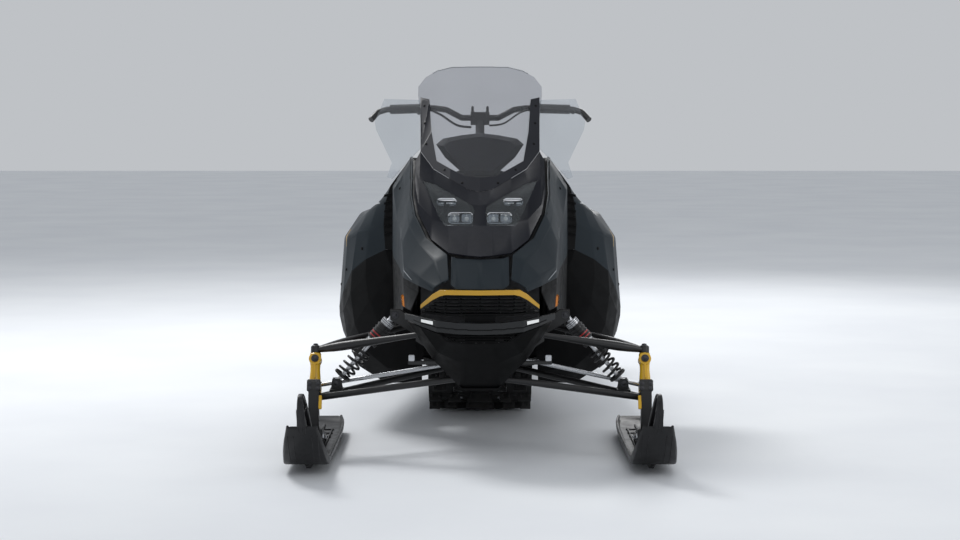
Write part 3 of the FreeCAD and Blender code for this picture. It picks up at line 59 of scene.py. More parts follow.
class Shader:
    """A node material that is put together step by step."""

    def __init__(self, name):
        self.material = bpy.data.materials.new(name)
        self.material.use_nodes = True
        self.tree = self.material.node_tree
        self.shader = self.tree.nodes["Principled BSDF"]
        self.place = self.node("ShaderNodeTexCoord").outputs["Object"]

    def node(self, kind, **settings):
        made = self.tree.nodes.new(kind)
        for key, value in settings.items():
            setattr(made, key, value)
        return made

    def link(self, source, target):
        self.tree.links.new(source, target)

    def filled(self, kind, **sockets):
        """A node with numbers in its sockets, a space in a socket's name written as _."""
        made = self.node(kind)
        for key, value in sockets.items():
            made.inputs[key.replace("_", " ")].default_value = value
        return made

    def noise(self, scale, detail, stretch=None, roughness=0.5):
        source = self.place
        if stretch:
            mapping = self.filled("ShaderNodeMapping", Scale=stretch)
            self.link(source, mapping.inputs["Vector"])
            source = mapping.outputs["Vector"]
        made = self.filled("ShaderNodeTexNoise", Scale=scale, Detail=detail, Roughness=roughness)
        self.link(source, made.inputs["Vector"])
        return made.outputs["Fac"]

    def cells(self, scale, feature="F1"):
        made = self.node("ShaderNodeTexVoronoi", feature=feature)
        made.inputs["Scale"].default_value = scale
        self.link(self.place, made.inputs["Vector"])
        return made.outputs["Distance"]

    def spread(self, value, low, high):
        """A noise turned into numbers between two limits."""
        made = self.filled("ShaderNodeMapRange", From_Min=0.3, From_Max=0.7, To_Min=low, To_Max=high)
        self.link(value, made.inputs["Value"])
        return made.outputs["Result"]

    def tint(self, value, dark, light):
        """A noise turned into colours between two shades."""
        made = self.node("ShaderNodeValToRGB")
        for stop, place, color in zip(made.color_ramp.elements, (0.3, 0.7), (dark, light)):
            stop.position = place
            stop.color = (*color, 1)
        self.link(value, made.inputs["Fac"])
        return made.outputs["Color"]

    def bump(self, height, strength, distance):
        made = self.filled("ShaderNodeBump", Strength=strength, Distance=distance)
        self.link(height, made.inputs["Height"])
        previous = self.shader.inputs["Normal"].links
        if previous:
            self.link(previous[0].from_socket, made.inputs["Normal"])
        self.link(made.outputs["Normal"], self.shader.inputs["Normal"])

    def set(self, **sockets):
        for key, value in sockets.items():
            self.shader.inputs[key.replace("_", " ")].default_value = value

    def mottle(self, color, dark, light, scale, detail):
        """Base colour that wavers between two shades of a colour."""
        made = self.tint(self.noise(scale, detail), shade(color, dark), shade(color, light))
        self.link(made, self.shader.inputs["Base Color"])

    def roughen(self, value, low, high):
        self.link(self.spread(value, low, high), self.shader.inputs["Roughness"])


def shade(color, factor):
    return tuple(min(1.0, c * factor) for c in color)


def paint(name, color, rough=(0.22, 0.34), coat=0.6, dust=0.1, grain=900, depth=0.00004, shine=0.5):
    """Gloss paint or gloss plastic: a slight mottling, wavy roughness and fine orange peel."""
    s = Shader(name)
    s.mottle(color, 1 - dust, 1 + dust, 5, 5)
    s.roughen(s.noise(14, 6), *rough)
    s.bump(s.noise(grain, 2), 0.25, depth)
    s.set(Coat_Weight=coat, Coat_Roughness=0.12, Specular_IOR_Level=shine)
    return s.material


def moulded(name, color, rough=(0.42, 0.6), grain=650, depth=0.00015, coat=0.0, shine=0.3):
    """Moulded plastic with a fine pebbled grain."""
    s = Shader(name)
    s.mottle(color, 0.86, 1.14, 7, 6)
    s.roughen(s.noise(30, 5), *rough)
    s.bump(s.noise(grain, 3), 0.3, depth)
    s.set(Coat_Weight=coat, Coat_Roughness=0.25, Specular_IOR_Level=shine)
    return s.material


def metal(name, color, rough=(0.25, 0.42), stretch=(1, 30, 30), scale=12, depth=0.00005):
    """Bare metal with drawn or brushed lines."""
    s = Shader(name)
    s.mottle(color, 0.85, 1.08, 6, 5)
    lines = s.noise(scale, 6, stretch)
    s.roughen(lines, *rough)
    s.bump(lines, 0.3, depth)
    s.set(Metallic=1.0)
    return s.material


def cast(name, color, rough=(0.4, 0.6), metallic=0.0, coat=0.25, grain=350, depth=0.0004):
    """Cast and coated metal with a coarse skin."""
    s = Shader(name)
    s.mottle(color, 0.86, 1.1, 20, 6)
    s.roughen(s.noise(60, 4), *rough)
    s.bump(s.noise(grain, 5, None, 0.6), 0.4, depth)
    s.set(Metallic=metallic, Coat_Weight=coat, Coat_Roughness=0.3)
    return s.material


def rubber(name, color, grain=240):
    s = Shader(name)
    s.mottle(color, 0.8, 1.35, 9, 7)
    s.roughen(s.noise(22, 5), 0.6, 0.85)
    s.bump(s.noise(grain, 6, None, 0.65), 0.5, 0.0005)
    s.bump(s.cells(900), 0.2, 0.0001)
    return s.material


def vinyl(name, color):
    """Seat cover: leather-like vinyl, its cells seen at a hand's breadth."""
    s = Shader(name)
    s.mottle(color, 0.8, 1.3, 8, 6)
    s.roughen(s.noise(35, 5), 0.46, 0.66)
    s.bump(s.cells(420, "DISTANCE_TO_EDGE"), 0.4, 0.0004)
    s.bump(s.noise(16, 4), 0.3, 0.002)
    s.set(Sheen_Weight=0.12, Sheen_Roughness=0.5)
    return s.material


def clear(name, color, rough=(0.02, 0.06)):
    """Clear or smoked plastic with faint haze and flow."""
    s = Shader(name)
    s.mottle(color, 0.94, 1.04, 3, 4)
    s.roughen(s.noise(25, 7), *rough)
    s.bump(s.noise(4, 3), 0.1, 0.0008)
    s.set(Transmission_Weight=0.95, IOR=1.2)
    return s.material


def lamp(name, color, glow):
    s = Shader(name)
    s.mottle(color, 0.9, 1.05, 30, 3)
    s.roughen(s.noise(60, 3), 0.12, 0.25)
    s.bump(s.cells(240), 0.3, 0.0004)
    s.set(Coat_Weight=0.8, Emission_Color=(*color, 1), Emission_Strength=glow)
    return s.material


SLATE = paint("slate_panel", (0.0075, 0.0145, 0.0205), (0.42, 0.52), coat=0.04, shine=0.26)
CHARCOAL = moulded("charcoal_panel", (0.0055, 0.0065, 0.011), (0.46, 0.58), 700, 0.00010, shine=0.15)
SCREEN_FRAME = moulded("screen_frame", (0.018, 0.019, 0.025), (0.42, 0.54), 700, 0.00010, shine=0.24)
BLACK = moulded("black_panel", (0.0022, 0.0023, 0.0026), (0.44, 0.62), shine=0.14)
SKI = moulded("ski_plastic", (0.009, 0.009, 0.010), (0.34, 0.52), 500, 0.0001, coat=0.1)
BUMPER = moulded("bumper_plastic", (0.010, 0.011, 0.012), (0.26, 0.38), 600, 0.00008, coat=0.3)
YELLOW = paint("yellow_paint", (0.72, 0.42, 0.005), (0.26, 0.4), 0.5, 0.08, 300, 0.0003)
GOLD = paint("golden_trim", (0.60, 0.33, 0.015), (0.28, 0.42), coat=0.4, dust=0.08)
BLACK_PAINT = cast("black_paint", (0.004, 0.004, 0.0045), (0.34, 0.5), 0.0, 0.2, 500, 0.0002)
ALUMINIUM = metal("bare_aluminium", (0.62, 0.63, 0.65))
SHEET = metal("tunnel_sheet", (0.42, 0.43, 0.45), (0.34, 0.5), (30, 1, 30), 9)
STEEL = metal("bright_steel", (0.55, 0.56, 0.58), (0.24, 0.32), (3, 12, 12), 12, 0.00001)
DARK_STEEL = metal("dark_steel", (0.07, 0.07, 0.075), (0.3, 0.42), (3, 12, 12), 12, 0.00001)
CHROME = metal("lamp_chrome", (0.75, 0.76, 0.78), (0.08, 0.16), (1, 8, 8), 30)
ENGINE = cast("engine_casting", (0.12, 0.12, 0.125), (0.45, 0.65), 0.7, 0.0)
TRACK = rubber("track_rubber", (0.014, 0.014, 0.014))
GRIP = rubber("grip_rubber", (0.016, 0.016, 0.017), 500)
WHEEL = moulded("wheel_plastic", (0.018, 0.018, 0.020))
SEAT = vinyl("seat_cover", (0.016, 0.016, 0.018))
SMOKED = clear("smoked_screen", (0.66, 0.67, 0.70))
CLEAR = clear("clear_screen", (0.80, 0.83, 0.86))
LENS = clear("lens", (0.62, 0.66, 0.69), (0.01, 0.04))
LAMP_WHITE = lamp("lamp_lens", (0.82, 0.83, 0.82), 0.25)
# the marker lamps are amber reflectors, no lamps: their faint emission is a painted glow
AMBER_GLOWING = lamp("amber_lens", (0.80, 0.24, 0.01), 0.12)
RED = lamp("red_lens", (0.42, 0.008, 0.008), 0.1)
DISPLAY = paint("display_glass", (0.01, 0.014, 0.018), (0.08, 0.14), coat=0.9, grain=120, depth=0.00002)
RED_PAINT = paint("red_accent", (0.45, 0.01, 0.012), (0.3, 0.42))
# pale lines: painted highlights on the cowls' creases and the windshield's top, and pale accents and seat
# thread
PALE_HIGHLIGHT_AND_ACCENT = paint("pale_highlight_and_accent", (0.30, 0.32, 0.34), (0.3, 0.45))

FINISH = {}
for material, names in (
        (SLATE, "cowls side_panels hood_centre"), (CHARCOAL, "headlight_mask gauge_cowl"),
        (SCREEN_FRAME, "windshield_frame"), (BUMPER, "front_bumper"), (SKI, "ski_left ski_right"),
        (BLACK, "belly_pan lower_sides foot_wells grille tank_cover side_vents nose_bracket"),
        (BLACK, "headlight_unit controls"), (YELLOW, "spindle_left spindle_right"), (GOLD, "grille_trim"),
        (BLACK_PAINT, "upper_arms lower_arms front_frame upper_frame handlebar front_springs swing_arm"),
        (BLACK_PAINT, "ski_leg_left ski_leg_right rear_suspension_arms rear_bumper"),
        (SHEET, "tunnel running_boards"), (ALUMINIUM, "slide_rails front_shocks frame_gussets"),
        (STEEL, "tie_rod_left tie_rod_right drive_axle"), (ENGINE, "engine_block"),
        (TRACK, "track snow_flap"), (GRIP, "grips"), (WHEEL, "idler_wheels"), (SMOKED, "windshield"),
        (CLEAR, "side_deflectors"), (LENS, "headlight_lenses"), (LAMP_WHITE, "bumper_lamps"),
        (AMBER_GLOWING, "marker_lamps"), (RED, "tail_lamp"), (SEAT, "seat")):
    FINISH.update({name: material for name in names.split()})
# nodes whose edges are rounded off, and by how many metres
ROUNDED = {
    "cowls": 0.0035, "side_panels": 0.006, "hood_centre": 0.0025, "headlight_mask": 0.003, "belly_pan": 0.004,
    "lower_sides": 0.003, "foot_wells": 0.006, "windshield_frame": 0.003, "front_bumper": 0.004,
    "grille_trim": 0.0015, "tank_cover": 0.012, "gauge_cowl": 0.010,
}
for name, obj in NODES.items():
    obj.data.materials.clear()
    obj.data.materials.append(FINISH[name])
    if name in ROUNDED:
        weld = obj.modifiers.new("weld", "WELD")
        weld.merge_threshold = 0.0001
        bevel = obj.modifiers.new("bevel", "BEVEL")
        bevel.width = ROUNDED[name]
        bevel.segments = 3
        bevel.limit_method = "ANGLE"
        bevel.angle_limit = math.radians(16)
        bevel.harden_normals = True


# Helpers for pieces

TREES = {}


def tree_of(mesh):
    return BVHTree.FromPolygons([v.co for v in mesh.vertices], [p.vertices for p in mesh.polygons])


def on_surface(node, start, direction, lift=0.0):
    """Where a line first meets a node, lifted off its surface, and the surface's normal."""
    if node not in TREES:
        TREES[node] = tree_of(NODES[node].data)
    direction = Vector(direction)
    place, normal, _, _ = TREES[node].ray_cast(start, direction)
    if place is None:
        return None, None
    if normal.dot(direction) > 0:
        normal = -normal
    return place + normal * lift, normal


def dropped(node, starts, direction, lift=0.0):
    """Places and normals where lines first meet a node; lines that miss it are left out."""
    hits = [on_surface(node, start, direction, lift) for start in starts]
    return [(hit, normal) for hit, normal in hits if hit is not None]


def foremost(nodes, start):
    """Where a line from the front first meets one of the nodes, or None."""
    hits = [on_surface(node, start, (0, 1, 0))[0] for node in nodes]
    return min((hit for hit in hits if hit is not None), key=lambda hit: hit.y, default=None)


def sweep(nodes, starts):
    """The hit of the first line from the front that meets one of the nodes, or None."""
    for start in starts:
        hit = foremost(nodes, start)
        if hit is not None:
            return hit
    return None


def piece(name, bm, material, body="chassis", sharp=35):
    """A finished mesh piece that rides on a body."""
    mesh = bpy.data.meshes.new(name)
    bmesh.ops.recalc_face_normals(bm, faces=bm.faces)
    bm.to_mesh(mesh)
    bm.free()
    mesh.materials.append(material)
    mesh.shade_smooth()
    mesh.set_sharp_from_angle(angle=math.radians(sharp))
    obj = bpy.data.objects.new(name, mesh)
    bpy.context.collection.objects.link(obj)
    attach(obj, body)
    return obj


def add_cone(bm, place, axis, low, high, depth, segments=14, caps=True):
    turn = Vector(axis).to_track_quat("Z", "Y").to_matrix().to_4x4()
    bmesh.ops.create_cone(bm, cap_ends=caps, segments=segments, radius1=low, radius2=high, depth=depth,
                          matrix=Matrix.Translation(place) @ turn)


def add_bolt(bm, place, axis, radius):
    """A hexagon head on its washer, standing on a surface."""
    axis = Vector(axis).normalized()
    add_cone(bm, place + axis * radius * 0.12, axis, radius * 1.5, radius * 1.4, radius * 0.24, 20)
    add_cone(bm, place + axis * radius * 0.55, axis, radius, radius, radius * 0.62, 6)
    add_cone(bm, place + axis * radius * 0.93, axis, radius * 0.86, radius * 0.6, radius * 0.16, 14)


def add_rivet(bm, place, axis, radius):
    axis = Vector(axis).normalized()
    add_cone(bm, place + axis * radius * 0.12, axis, radius, radius * 0.85, radius * 0.24, 12)
    add_cone(bm, place + axis * radius * 0.34, axis, radius * 0.85, radius * 0.35, radius * 0.2, 12)


def add_box(bm, low, high, bevel=0.0, taper=1.0):
    """A block between two corners; its top is taper times as large as its foot."""
    made = bmesh.ops.create_cube(bm, size=1.0)["verts"]
    middle = (Vector(low) + Vector(high)) / 2
    size = Vector(high) - Vector(low)
    for v in made:
        share = taper if v.co.z > 0 else 1.0
        v.co = Vector((v.co.x * size.x * share, v.co.y * size.y * share, v.co.z * size.z)) + middle
    if bevel:
        edges = list(dict.fromkeys(e for v in made for e in v.link_edges))
        bmesh.ops.bevel(bm, geom=edges, offset=bevel, segments=2, affect="EDGES")


def add_side_box(bm, sign, across, stations, levels, bevel):
    """A block on one side of the machine."""
    low, high = sorted(sign * x for x in across)
    add_box(bm, at(low, stations[0], levels[0]), at(high, stations[1], levels[1]), bevel)


def circle(count):
    """(cosine, sine) of as many angles round a circle."""
    angles = [2 * math.pi * step / count for step in range(count)]
    return [(math.cos(angle), math.sin(angle)) for angle in angles]


def skin(bm, rows, ring=True, loop=False):
    """Faces between rows of points. A ring closes each row and a loop joins the last row to the first."""
    for first, second in zip(rows, rows[1:] + rows[:1] if loop else rows[1:]):
        for step in range(len(first) if ring else len(first) - 1):
            after = (step + 1) % len(first)
            bm.faces.new((first[step], first[after], second[after], second[step]))


def add_tube(bm, path, radius, segments=10, loop=False, flat=1.0):
    """A round bar along a path; flat squeezes it across its second direction."""
    count = len(path)
    rings = []
    side = None
    for index, place in enumerate(path):
        before = path[index - 1] if index or loop else place
        after = path[(index + 1) % count] if index < count - 1 or loop else place
        along = (after - before).normalized()
        if side is None:
            side = along.orthogonal().normalized()
        side = (side - along * side.dot(along)).normalized()
        other = along.cross(side)
        r = radius[index] if isinstance(radius, (list, tuple)) else radius
        rings.append([bm.verts.new(place + side * u * r + other * v * r * flat) for u, v in circle(segments)])
    skin(bm, rings, True, loop)
    if not loop:
        bm.faces.new(rings[0])
        bm.faces.new(rings[-1])


def add_line(bm, node, starts, direction, lift, radius, segments, end=math.inf):
    """A round line laid on a node; what lies further back than end is left out."""
    path = [hit for hit, _ in dropped(node, starts, direction, lift) if hit.y < end]
    if len(path) > 3:
        add_tube(bm, path, radius, segments)


def smooth_path(points, steps=8):
    """Points on a curve through the given ones."""
    out = []
    count = len(points)
    for index in range(count - 1):
        p0 = points[max(index - 1, 0)]
        p1 = points[index]
        p2 = points[index + 1]
        p3 = points[min(index + 2, count - 1)]
        for step in range(steps):
            t = step / steps
            out.append(0.5 * (2 * p1 + (p2 - p0) * t + (2 * p0 - 5 * p1 + 4 * p2 - p3) * t * t
                              + (3 * p1 - p0 - 3 * p2 + p3) * t ** 3))
    out.append(points[-1])
    return out

def add_strip(bm, node, points, widths, direction, thick=0.0009):
    """A thin raised band on a CAD node: points are dropped on it along a direction."""
    places = []
    for index, (a, b) in enumerate(zip(points, points[1:])):
        for step in range(10):
            share = step / 10
            width = widths[index] + (widths[index + 1] - widths[index]) * share
            places.append((a.lerp(b, share), width))
    places.append((points[-1], widths[-1]))
    rows = []
    for index, (place, width) in enumerate(places):
        ahead = places[min(index + 1, len(places) - 1)][0] - places[max(index - 1, 0)][0]
        across = ahead.cross(Vector(direction)).normalized()
        starts = [place + across * side * width for side in (-0.5, 0, 0.5)]
        row = [hit for hit, _ in dropped(node, starts, direction, thick)]
        if len(row) == len(starts):
            rows.append([bm.verts.new(hit) for hit in row])
    skin(bm, rows, False)


# Forms that replace plainer solids: they keep the solids' place, joints and main sizes

def add_loft(bm, rings):
    """A closed form through rings that have as many points each."""
    rows = [[bm.verts.new(p) for p in ring] for ring in rings]
    skin(bm, rows)
    bm.faces.new(rows[0])
    bm.faces.new(rows[-1])


def add_plate(bm, profile, bevel):
    """A plate between two outlines of as many points, with eased edges."""
    before = set(bm.edges)
    add_loft(bm, profile)
    edges = [e for e in bm.edges if e not in before]
    bmesh.ops.bevel(bm, geom=edges, offset=bevel, segments=2, affect="EDGES", clamp_overlap=True)


def add_side_plate(bm, outline, across, bevel):
    """A lengthwise plate: its outline runs back and up."""
    add_plate(bm, [[at(x, station, z) for station, z in outline] for x in across], bevel)


def oval(across, deep, power=0.75, count=24):
    """Points (u, v) round a softened rectangle."""
    return [(math.copysign(abs(u) ** power, u) * across, math.copysign(abs(v) ** power, v) * deep)
            for u, v in circle(count)]


def add_rod(bm, start, end, radius, ease=0.0015):
    """A round bar with eased ends."""
    line = (end - start).normalized()
    path = [start, start + line * ease, end - line * ease, end]
    add_tube(bm, path, [radius - ease, radius, radius, radius - ease], 28)


def add_length(bm, start, line, low, high, radius):
    """A bar round a line, from one share of it to another."""
    add_rod(bm, start + line * low, start + line * high, radius)


def add_coil(bm, start, line, begin, share, turns, steps, wire, segments):
    """A coil spring round a line, from one share of it over another."""
    along = line.normalized()
    first = along.orthogonal().normalized()
    second = along.cross(first)
    count = turns * steps
    path = []
    for step in range(count + 1):
        angle = 2 * math.pi * step / steps
        wind = first * math.cos(angle) + second * math.sin(angle)
        path.append(start + line * (begin + share * step / count) + wind * COIL_RADIUS)
    add_tube(bm, path, wire, segments)


def add_wall(made, thickness):
    wall = made.modifiers.new("wall", "SOLIDIFY")
    wall.thickness = thickness


def as_node(name, bm, material, nodes, body="chassis", sharp=35):
    """A piece that stands for CAD nodes; later details are dropped on it."""
    made = piece(name, bm, material, body, sharp)
    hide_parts(*nodes)
    for node in nodes:
        TREES[node] = tree_of(made.data)


COIL_RADIUS = 0.0262

# Skis: a trough with rims, its keel, a tapered hand loop with a stay, the saddle's ears and a spine

# station, height of the running face, width, rim and floor above the running face
SKI_ROWS = [(60, 164, 92, 12, 9), (80, 138, 102, 15, 10), (112, 102, 118, 18, 10), (160, 62, 132, 23, 10),
            (205, 36, 140, 27, 9), (250, 26, 144, 28, 9), (400, 25, 144, 27, 9), (700, 25, 144, 24, 9),
            (960, 28, 136, 22, 9), (1060, 50, 110, 10, 7)]
LOOP_LINE = [(92, 142), (32, 205), (10, 250), (32, 268), (90, 252), (210, 166), (345, 36)]


def loop_half(level):
    """Half width of the hand loop at a height: it narrows towards its top."""
    if level < 150:
        return 17
    return 17 - (level - 150) * (9 / 120)


def ski(sign, bm):
    middle = sign * SKI_X
    rings = []
    for station, low, width, rim, floor in smooth_path([Vector(row) for row in SKI_ROWS], 4):
        half = width / 2
        edge = [(half - 9, low), (half - 3, low + 1.5), (half, low + 6), (half + 1, low + rim - 2),
                (half - 1, low + rim), (half - 5, low + rim), (half - 8, low + rim - 4),
                (half - 14, low + floor)]
        rings.append([at(middle + x, station, z) for x, z in edge + [(-x, z) for x, z in reversed(edge)]])
    add_loft(bm, rings)
    keel = []
    for station, low, share in ((235, 22, 0.3), (300, 3, 0.6), (860, 3, 0.6), (930, 18, 0.3)):
        keel.append([at(middle + x, station, z) for x, z in
                     ((-13, 33), (13, 33), (13 * share, low), (-13 * share, low))])
    add_plate(bm, keel, 0.001)
    loop = []
    line = smooth_path([at(middle, station, z) for station, z in LOOP_LINE], 7)
    for index, spot in enumerate(line):
        ahead = (line[min(index + 1, len(line) - 1)] - line[max(index - 1, 0)]).normalized()
        outward = Vector((0, -ahead.z, ahead.y))
        half = loop_half(spot.z * 1000) / 1000
        loop.append([spot + Vector((x, 0, 0)) + outward * y for x, y in oval(half, 0.0065, 0.45, 20)])
    add_loft(bm, loop)
    stay = ((250, 30), (300, 30), (196, 184), (168, 190))
    add_side_plate(bm, stay, (middle - 3, middle + 3), 0.001)
    ears = ((385, 30), (675, 30), (645, 52), (585, 66), (537, 99), (477, 99), (443, 74))
    for low, high in ((18.5, 30.5), (-30.5, -18.5)):
        add_side_plate(bm, ears, (middle + low, middle + high), 0.002)
    for x in (-34, 34):
        add_box(bm, at(middle + x - 2, 300, 30), at(middle + x + 2, 900, 41), 0.001)
    add_box(bm, at(middle - 5, 650, 30), at(middle + 5, 966, 44), 0.0015)
    for station in (720, 800, 880):
        add_box(bm, at(middle - 40, station, 31), at(middle + 40, station + 6, 38), 0.001)


for sign, side in SIDES:
    bm = bmesh.new()
    ski(sign, bm)
    as_node("ski_form_" + side, bm, SKI, ["ski_" + side], "ski_%s_body" % side)


# Spindles with a round head, and the ski legs

KINGPIN = Vector((0, 0.325568, 0.945519))
BACK = Vector((0, 0.945519, -0.325568))
# up, across and deep: half sizes of the spindle along the kingpin
SPINDLE_ROWS = [(12.5, 19, 18), (20, 20, 19), (58, 18, 17), (84, 16, 16), (102, 16.5, 16.5), (118, 19, 17),
                (140.5, 18, 17)]
HEAD_UP = 120.4
UPPER_BALL_UP = 153.4


def kingpin_spot(sign, across, back, up):
    """A place in the kingpin's own frame, in millimetres from the lower ball joint."""
    base = at(sign * (SKI_X + across), *LOWER_BALL)
    return base + BACK * back / 1000 + KINGPIN * up / 1000


def kingpin_rod(bm, sign, start, end, radius, ease=0.0015):
    """A rod in the kingpin's frame, between two places back and up."""
    add_rod(bm, kingpin_spot(sign, 0, *start), kingpin_spot(sign, 0, *end), radius, ease)


def kingpin_plate(bm, sign, outline, across, bevel):
    """A plate whose outline runs back and up in the kingpin's frame."""
    add_plate(bm, [[kingpin_spot(sign, u, v, w) for v, w in outline] for u in across], bevel)


for sign, side in SIDES:
    bm = bmesh.new()
    rings = []
    for up, across, deep in smooth_path([Vector(row) for row in SPINDLE_ROWS], 4):
        rings.append([kingpin_spot(sign, u, v, up) for u, v in oval(across, deep)])
    add_loft(bm, rings)
    kingpin_rod(bm, sign, (-22, HEAD_UP), (17, HEAD_UP), 0.0205, 0.002)
    kingpin_rod(bm, sign, (-26, HEAD_UP), (-20, HEAD_UP), 0.012)
    # front rib, steering arm with its eye, and the foot inside the ski leg
    kingpin_plate(bm, sign, ((-23, 56), (-10, 52), (-10, 106), (-23, 102)), (-3, 3), 0.001)
    kingpin_plate(bm, sign, ((0, 30), (100, 30), (100, 44), (0, 44)), (-11, 11), 0.002)
    kingpin_rod(bm, sign, (100, 30), (100, 44), 0.014)
    kingpin_plate(bm, sign, ((-54, -8), (-40, -8), (-40, -52), (-50, -52)), (-27, -16.5), 0.0015)
    as_node("spindle_form_" + side, bm, YELLOW, ["spindle_" + side], "knuckle_" + side)
    bm = bmesh.new()
    # the leg ends round the rocking bolt and has a clamp at its head
    leg = ((-56.8, 44), (-33.8, 44), (-33.8, -16), (2.8, -66), (11.8, -94), (1.2, -118.4), (-20.8, -118.4),
           (-32.2, -94), (-37.2, -66), (-56.8, -16))
    kingpin_plate(bm, sign, leg, (-17, 17), 0.003)
    kingpin_plate(bm, sign, ((-59, 6), (-32.6, 6), (-32.6, 42), (-53, 46), (-59, 38)), (-22, 22), 0.003)
    for x in (-11, 11):
        kingpin_plate(bm, sign, ((-58, 4), (-50, 4), (-50, -24), (-54, -28)), (x - 2, x + 2), 0.0008)
    add_rod(bm, at(sign * SKI_X - 36, *ROCK_BOLT), at(sign * SKI_X + 36, *ROCK_BOLT), 0.008)
    as_node("ski_leg_form_" + side, bm, BLACK_PAINT, ["ski_leg_" + side], "knuckle_" + side)


# Upper arms: forged blades that swell a quarter of the way along

BLADE_RADII = [0.0088, 0.0115, 0.0140, 0.0152, 0.0150, 0.0142, 0.0132, 0.0122, 0.0112, 0.0103, 0.0095,
               0.0090, 0.0088]
UPPER_PIVOT = (190, 405)

bm = bmesh.new()
for sign, _ in SIDES:
    ball = kingpin_spot(sign, 0, 0, UPPER_BALL_UP)
    kingpin_rod(bm, sign, (0, UPPER_BALL_UP - 12), (0, UPPER_BALL_UP + 12), 0.016)
    x, z = UPPER_PIVOT
    for begin, share in ((472, 0.5), (862, 0.72)):
        joint = at(sign * x, begin + 50 * share, z)
        add_rod(bm, at(sign * x, begin + 0.3, z), at(sign * x, begin + 49.7, z), 0.014)
        add_tube(bm, [ball.lerp(joint, k / 12) for k in range(13)], BLADE_RADII, 20)
as_node("upper_arm_forms", bm, BLACK_PAINT, ["upper_arms"])


# Front shocks: rod, seats, damper, a ribbed sleeve and the coil spring

def shock_line(sign):
    """The lower eye of a front shock, and the way from it to the upper eye."""
    foot, top = [at(sign * x, station, z) for x, station, z in (SHOCK_FOOT, SHOCK_TOP)]
    return foot, top - foot


metal_parts = bmesh.new()
dark_parts = bmesh.new()
coils = bmesh.new()
# from and to a share of the way up, radius in millimetres
SHOCK_RODS = ((0.0, 0.6, 7, metal_parts), (0.09, 0.12, 30, dark_parts), (0.44, 0.465, 27, dark_parts),
              (0.57, 0.61, 22, dark_parts), (0.6, 0.9, 20, metal_parts), (0.845, 0.905, 23, metal_parts),
              (0.9, 1.0, 10, metal_parts), (0.63, 0.84, 23, dark_parts))
for sign, _ in SIDES:
    low, line = shock_line(sign)
    for start, end, radius, bm in SHOCK_RODS:
        add_length(bm, low, line, start, end, radius / 1000)
    for rib in range(5):
        start = 0.64 + rib * 0.041
        add_length(dark_parts, low, line, start, start + 0.018, 0.0262)
    half = Vector((0, 0.012, 0))
    for eye in (low, low + line):
        add_rod(metal_parts, eye - half, eye + half, 0.013)
    add_coil(coils, low, line, 0.136, 0.29, 4, 42, 0.0042, 12)
as_node("shock_forms", metal_parts, ALUMINIUM, ["front_shocks"])
piece("shock_sleeve_forms", dark_parts, BLACK_PAINT)
as_node("spring_forms", coils, BLACK_PAINT, ["front_springs"], sharp=60)


# Wheels of the rear suspension with rims, webs and hubs, and the dampers between its arms

def add_lathe(bm, centre, profile, segments=44):
    """A closed profile of (across, radius), in millimetres, turned round a shaft that runs across."""
    skin(bm, [[bm.verts.new(centre + Vector((x, r * u, r * v)) / 1000) for x, r in profile]
              for u, v in circle(segments)], True, True)


# station, height, radius, places across and half length of the shaft
REAR_WHEELS = [(2595, 138, 99.7, (60, 136), 148), (1960, 395, 69.7, (136,), 203)]
REAR_WHEELS += [(station, 100.3, 62, (136,), 148) for station in (1770, 2060, 2340)]
bm = bmesh.new()
ends = bmesh.new()
for station, z, radius, places, shaft in REAR_WHEELS:
    add_rod(bm, at(-shaft, station, z), at(shaft, station, z), 0.010)
    rim = radius - 12
    # tread, rim, web and hub on one side, and the same on the other
    half = [(8, radius), (10, radius - 2), (10, rim), (7, rim - 2), (4, rim - 3), (4, 28), (7, 25), (11, 24),
            (11, 12)]
    profile = half + [(-x, r) for x, r in reversed(half)]
    for sign, _ in SIDES:
        for place in places:
            add_lathe(bm, at(sign * place, station, z), profile)
        for step in range(6):
            angle = step * math.pi / 3
            spot = at(sign * (places[-1] + 4), station + 34 * math.cos(angle), z + 34 * math.sin(angle))
            half = Vector((0.003, 0.004, 0.004))
            add_box(bm, spot - half, spot + half, 0.001)
        add_bolt(ends, at(sign * shaft, station, z), (sign, 0, 0), 0.0075)
as_node("wheel_forms", bm, WHEEL, ["idler_wheels"])
piece("axle_bolts", ends, STEEL)

bm = bmesh.new()
dark_parts = bmesh.new()
for top, foot, turns in (((30, 1440, 400), (30, 2200, 74.3), 9), ((-30, 1960, 395), (-30, 1660, 74.3), 5)):
    top = at(*top)
    line = at(*foot) - top
    add_length(bm, top, line, 0.03, 0.97, 0.009)
    add_length(bm, top, line, 0.08, 0.5, 0.020)
    for share in (0.12, 0.68):
        add_length(dark_parts, top, line, share, share + 0.03, 0.029)
    half = Vector((0.011, 0, 0))
    for end, radius in ((top, 0.026), (top + line, 0.029)):
        add_rod(dark_parts, end - half, end + half, radius)
    add_coil(dark_parts, top, line, 0.158, 0.515, turns, 30, 0.0045, 10)
piece("track_shock_forms", bm, ALUMINIUM)
piece("track_coil_forms", dark_parts, BLACK_PAINT, sharp=60)


# Dark housings behind the lenses

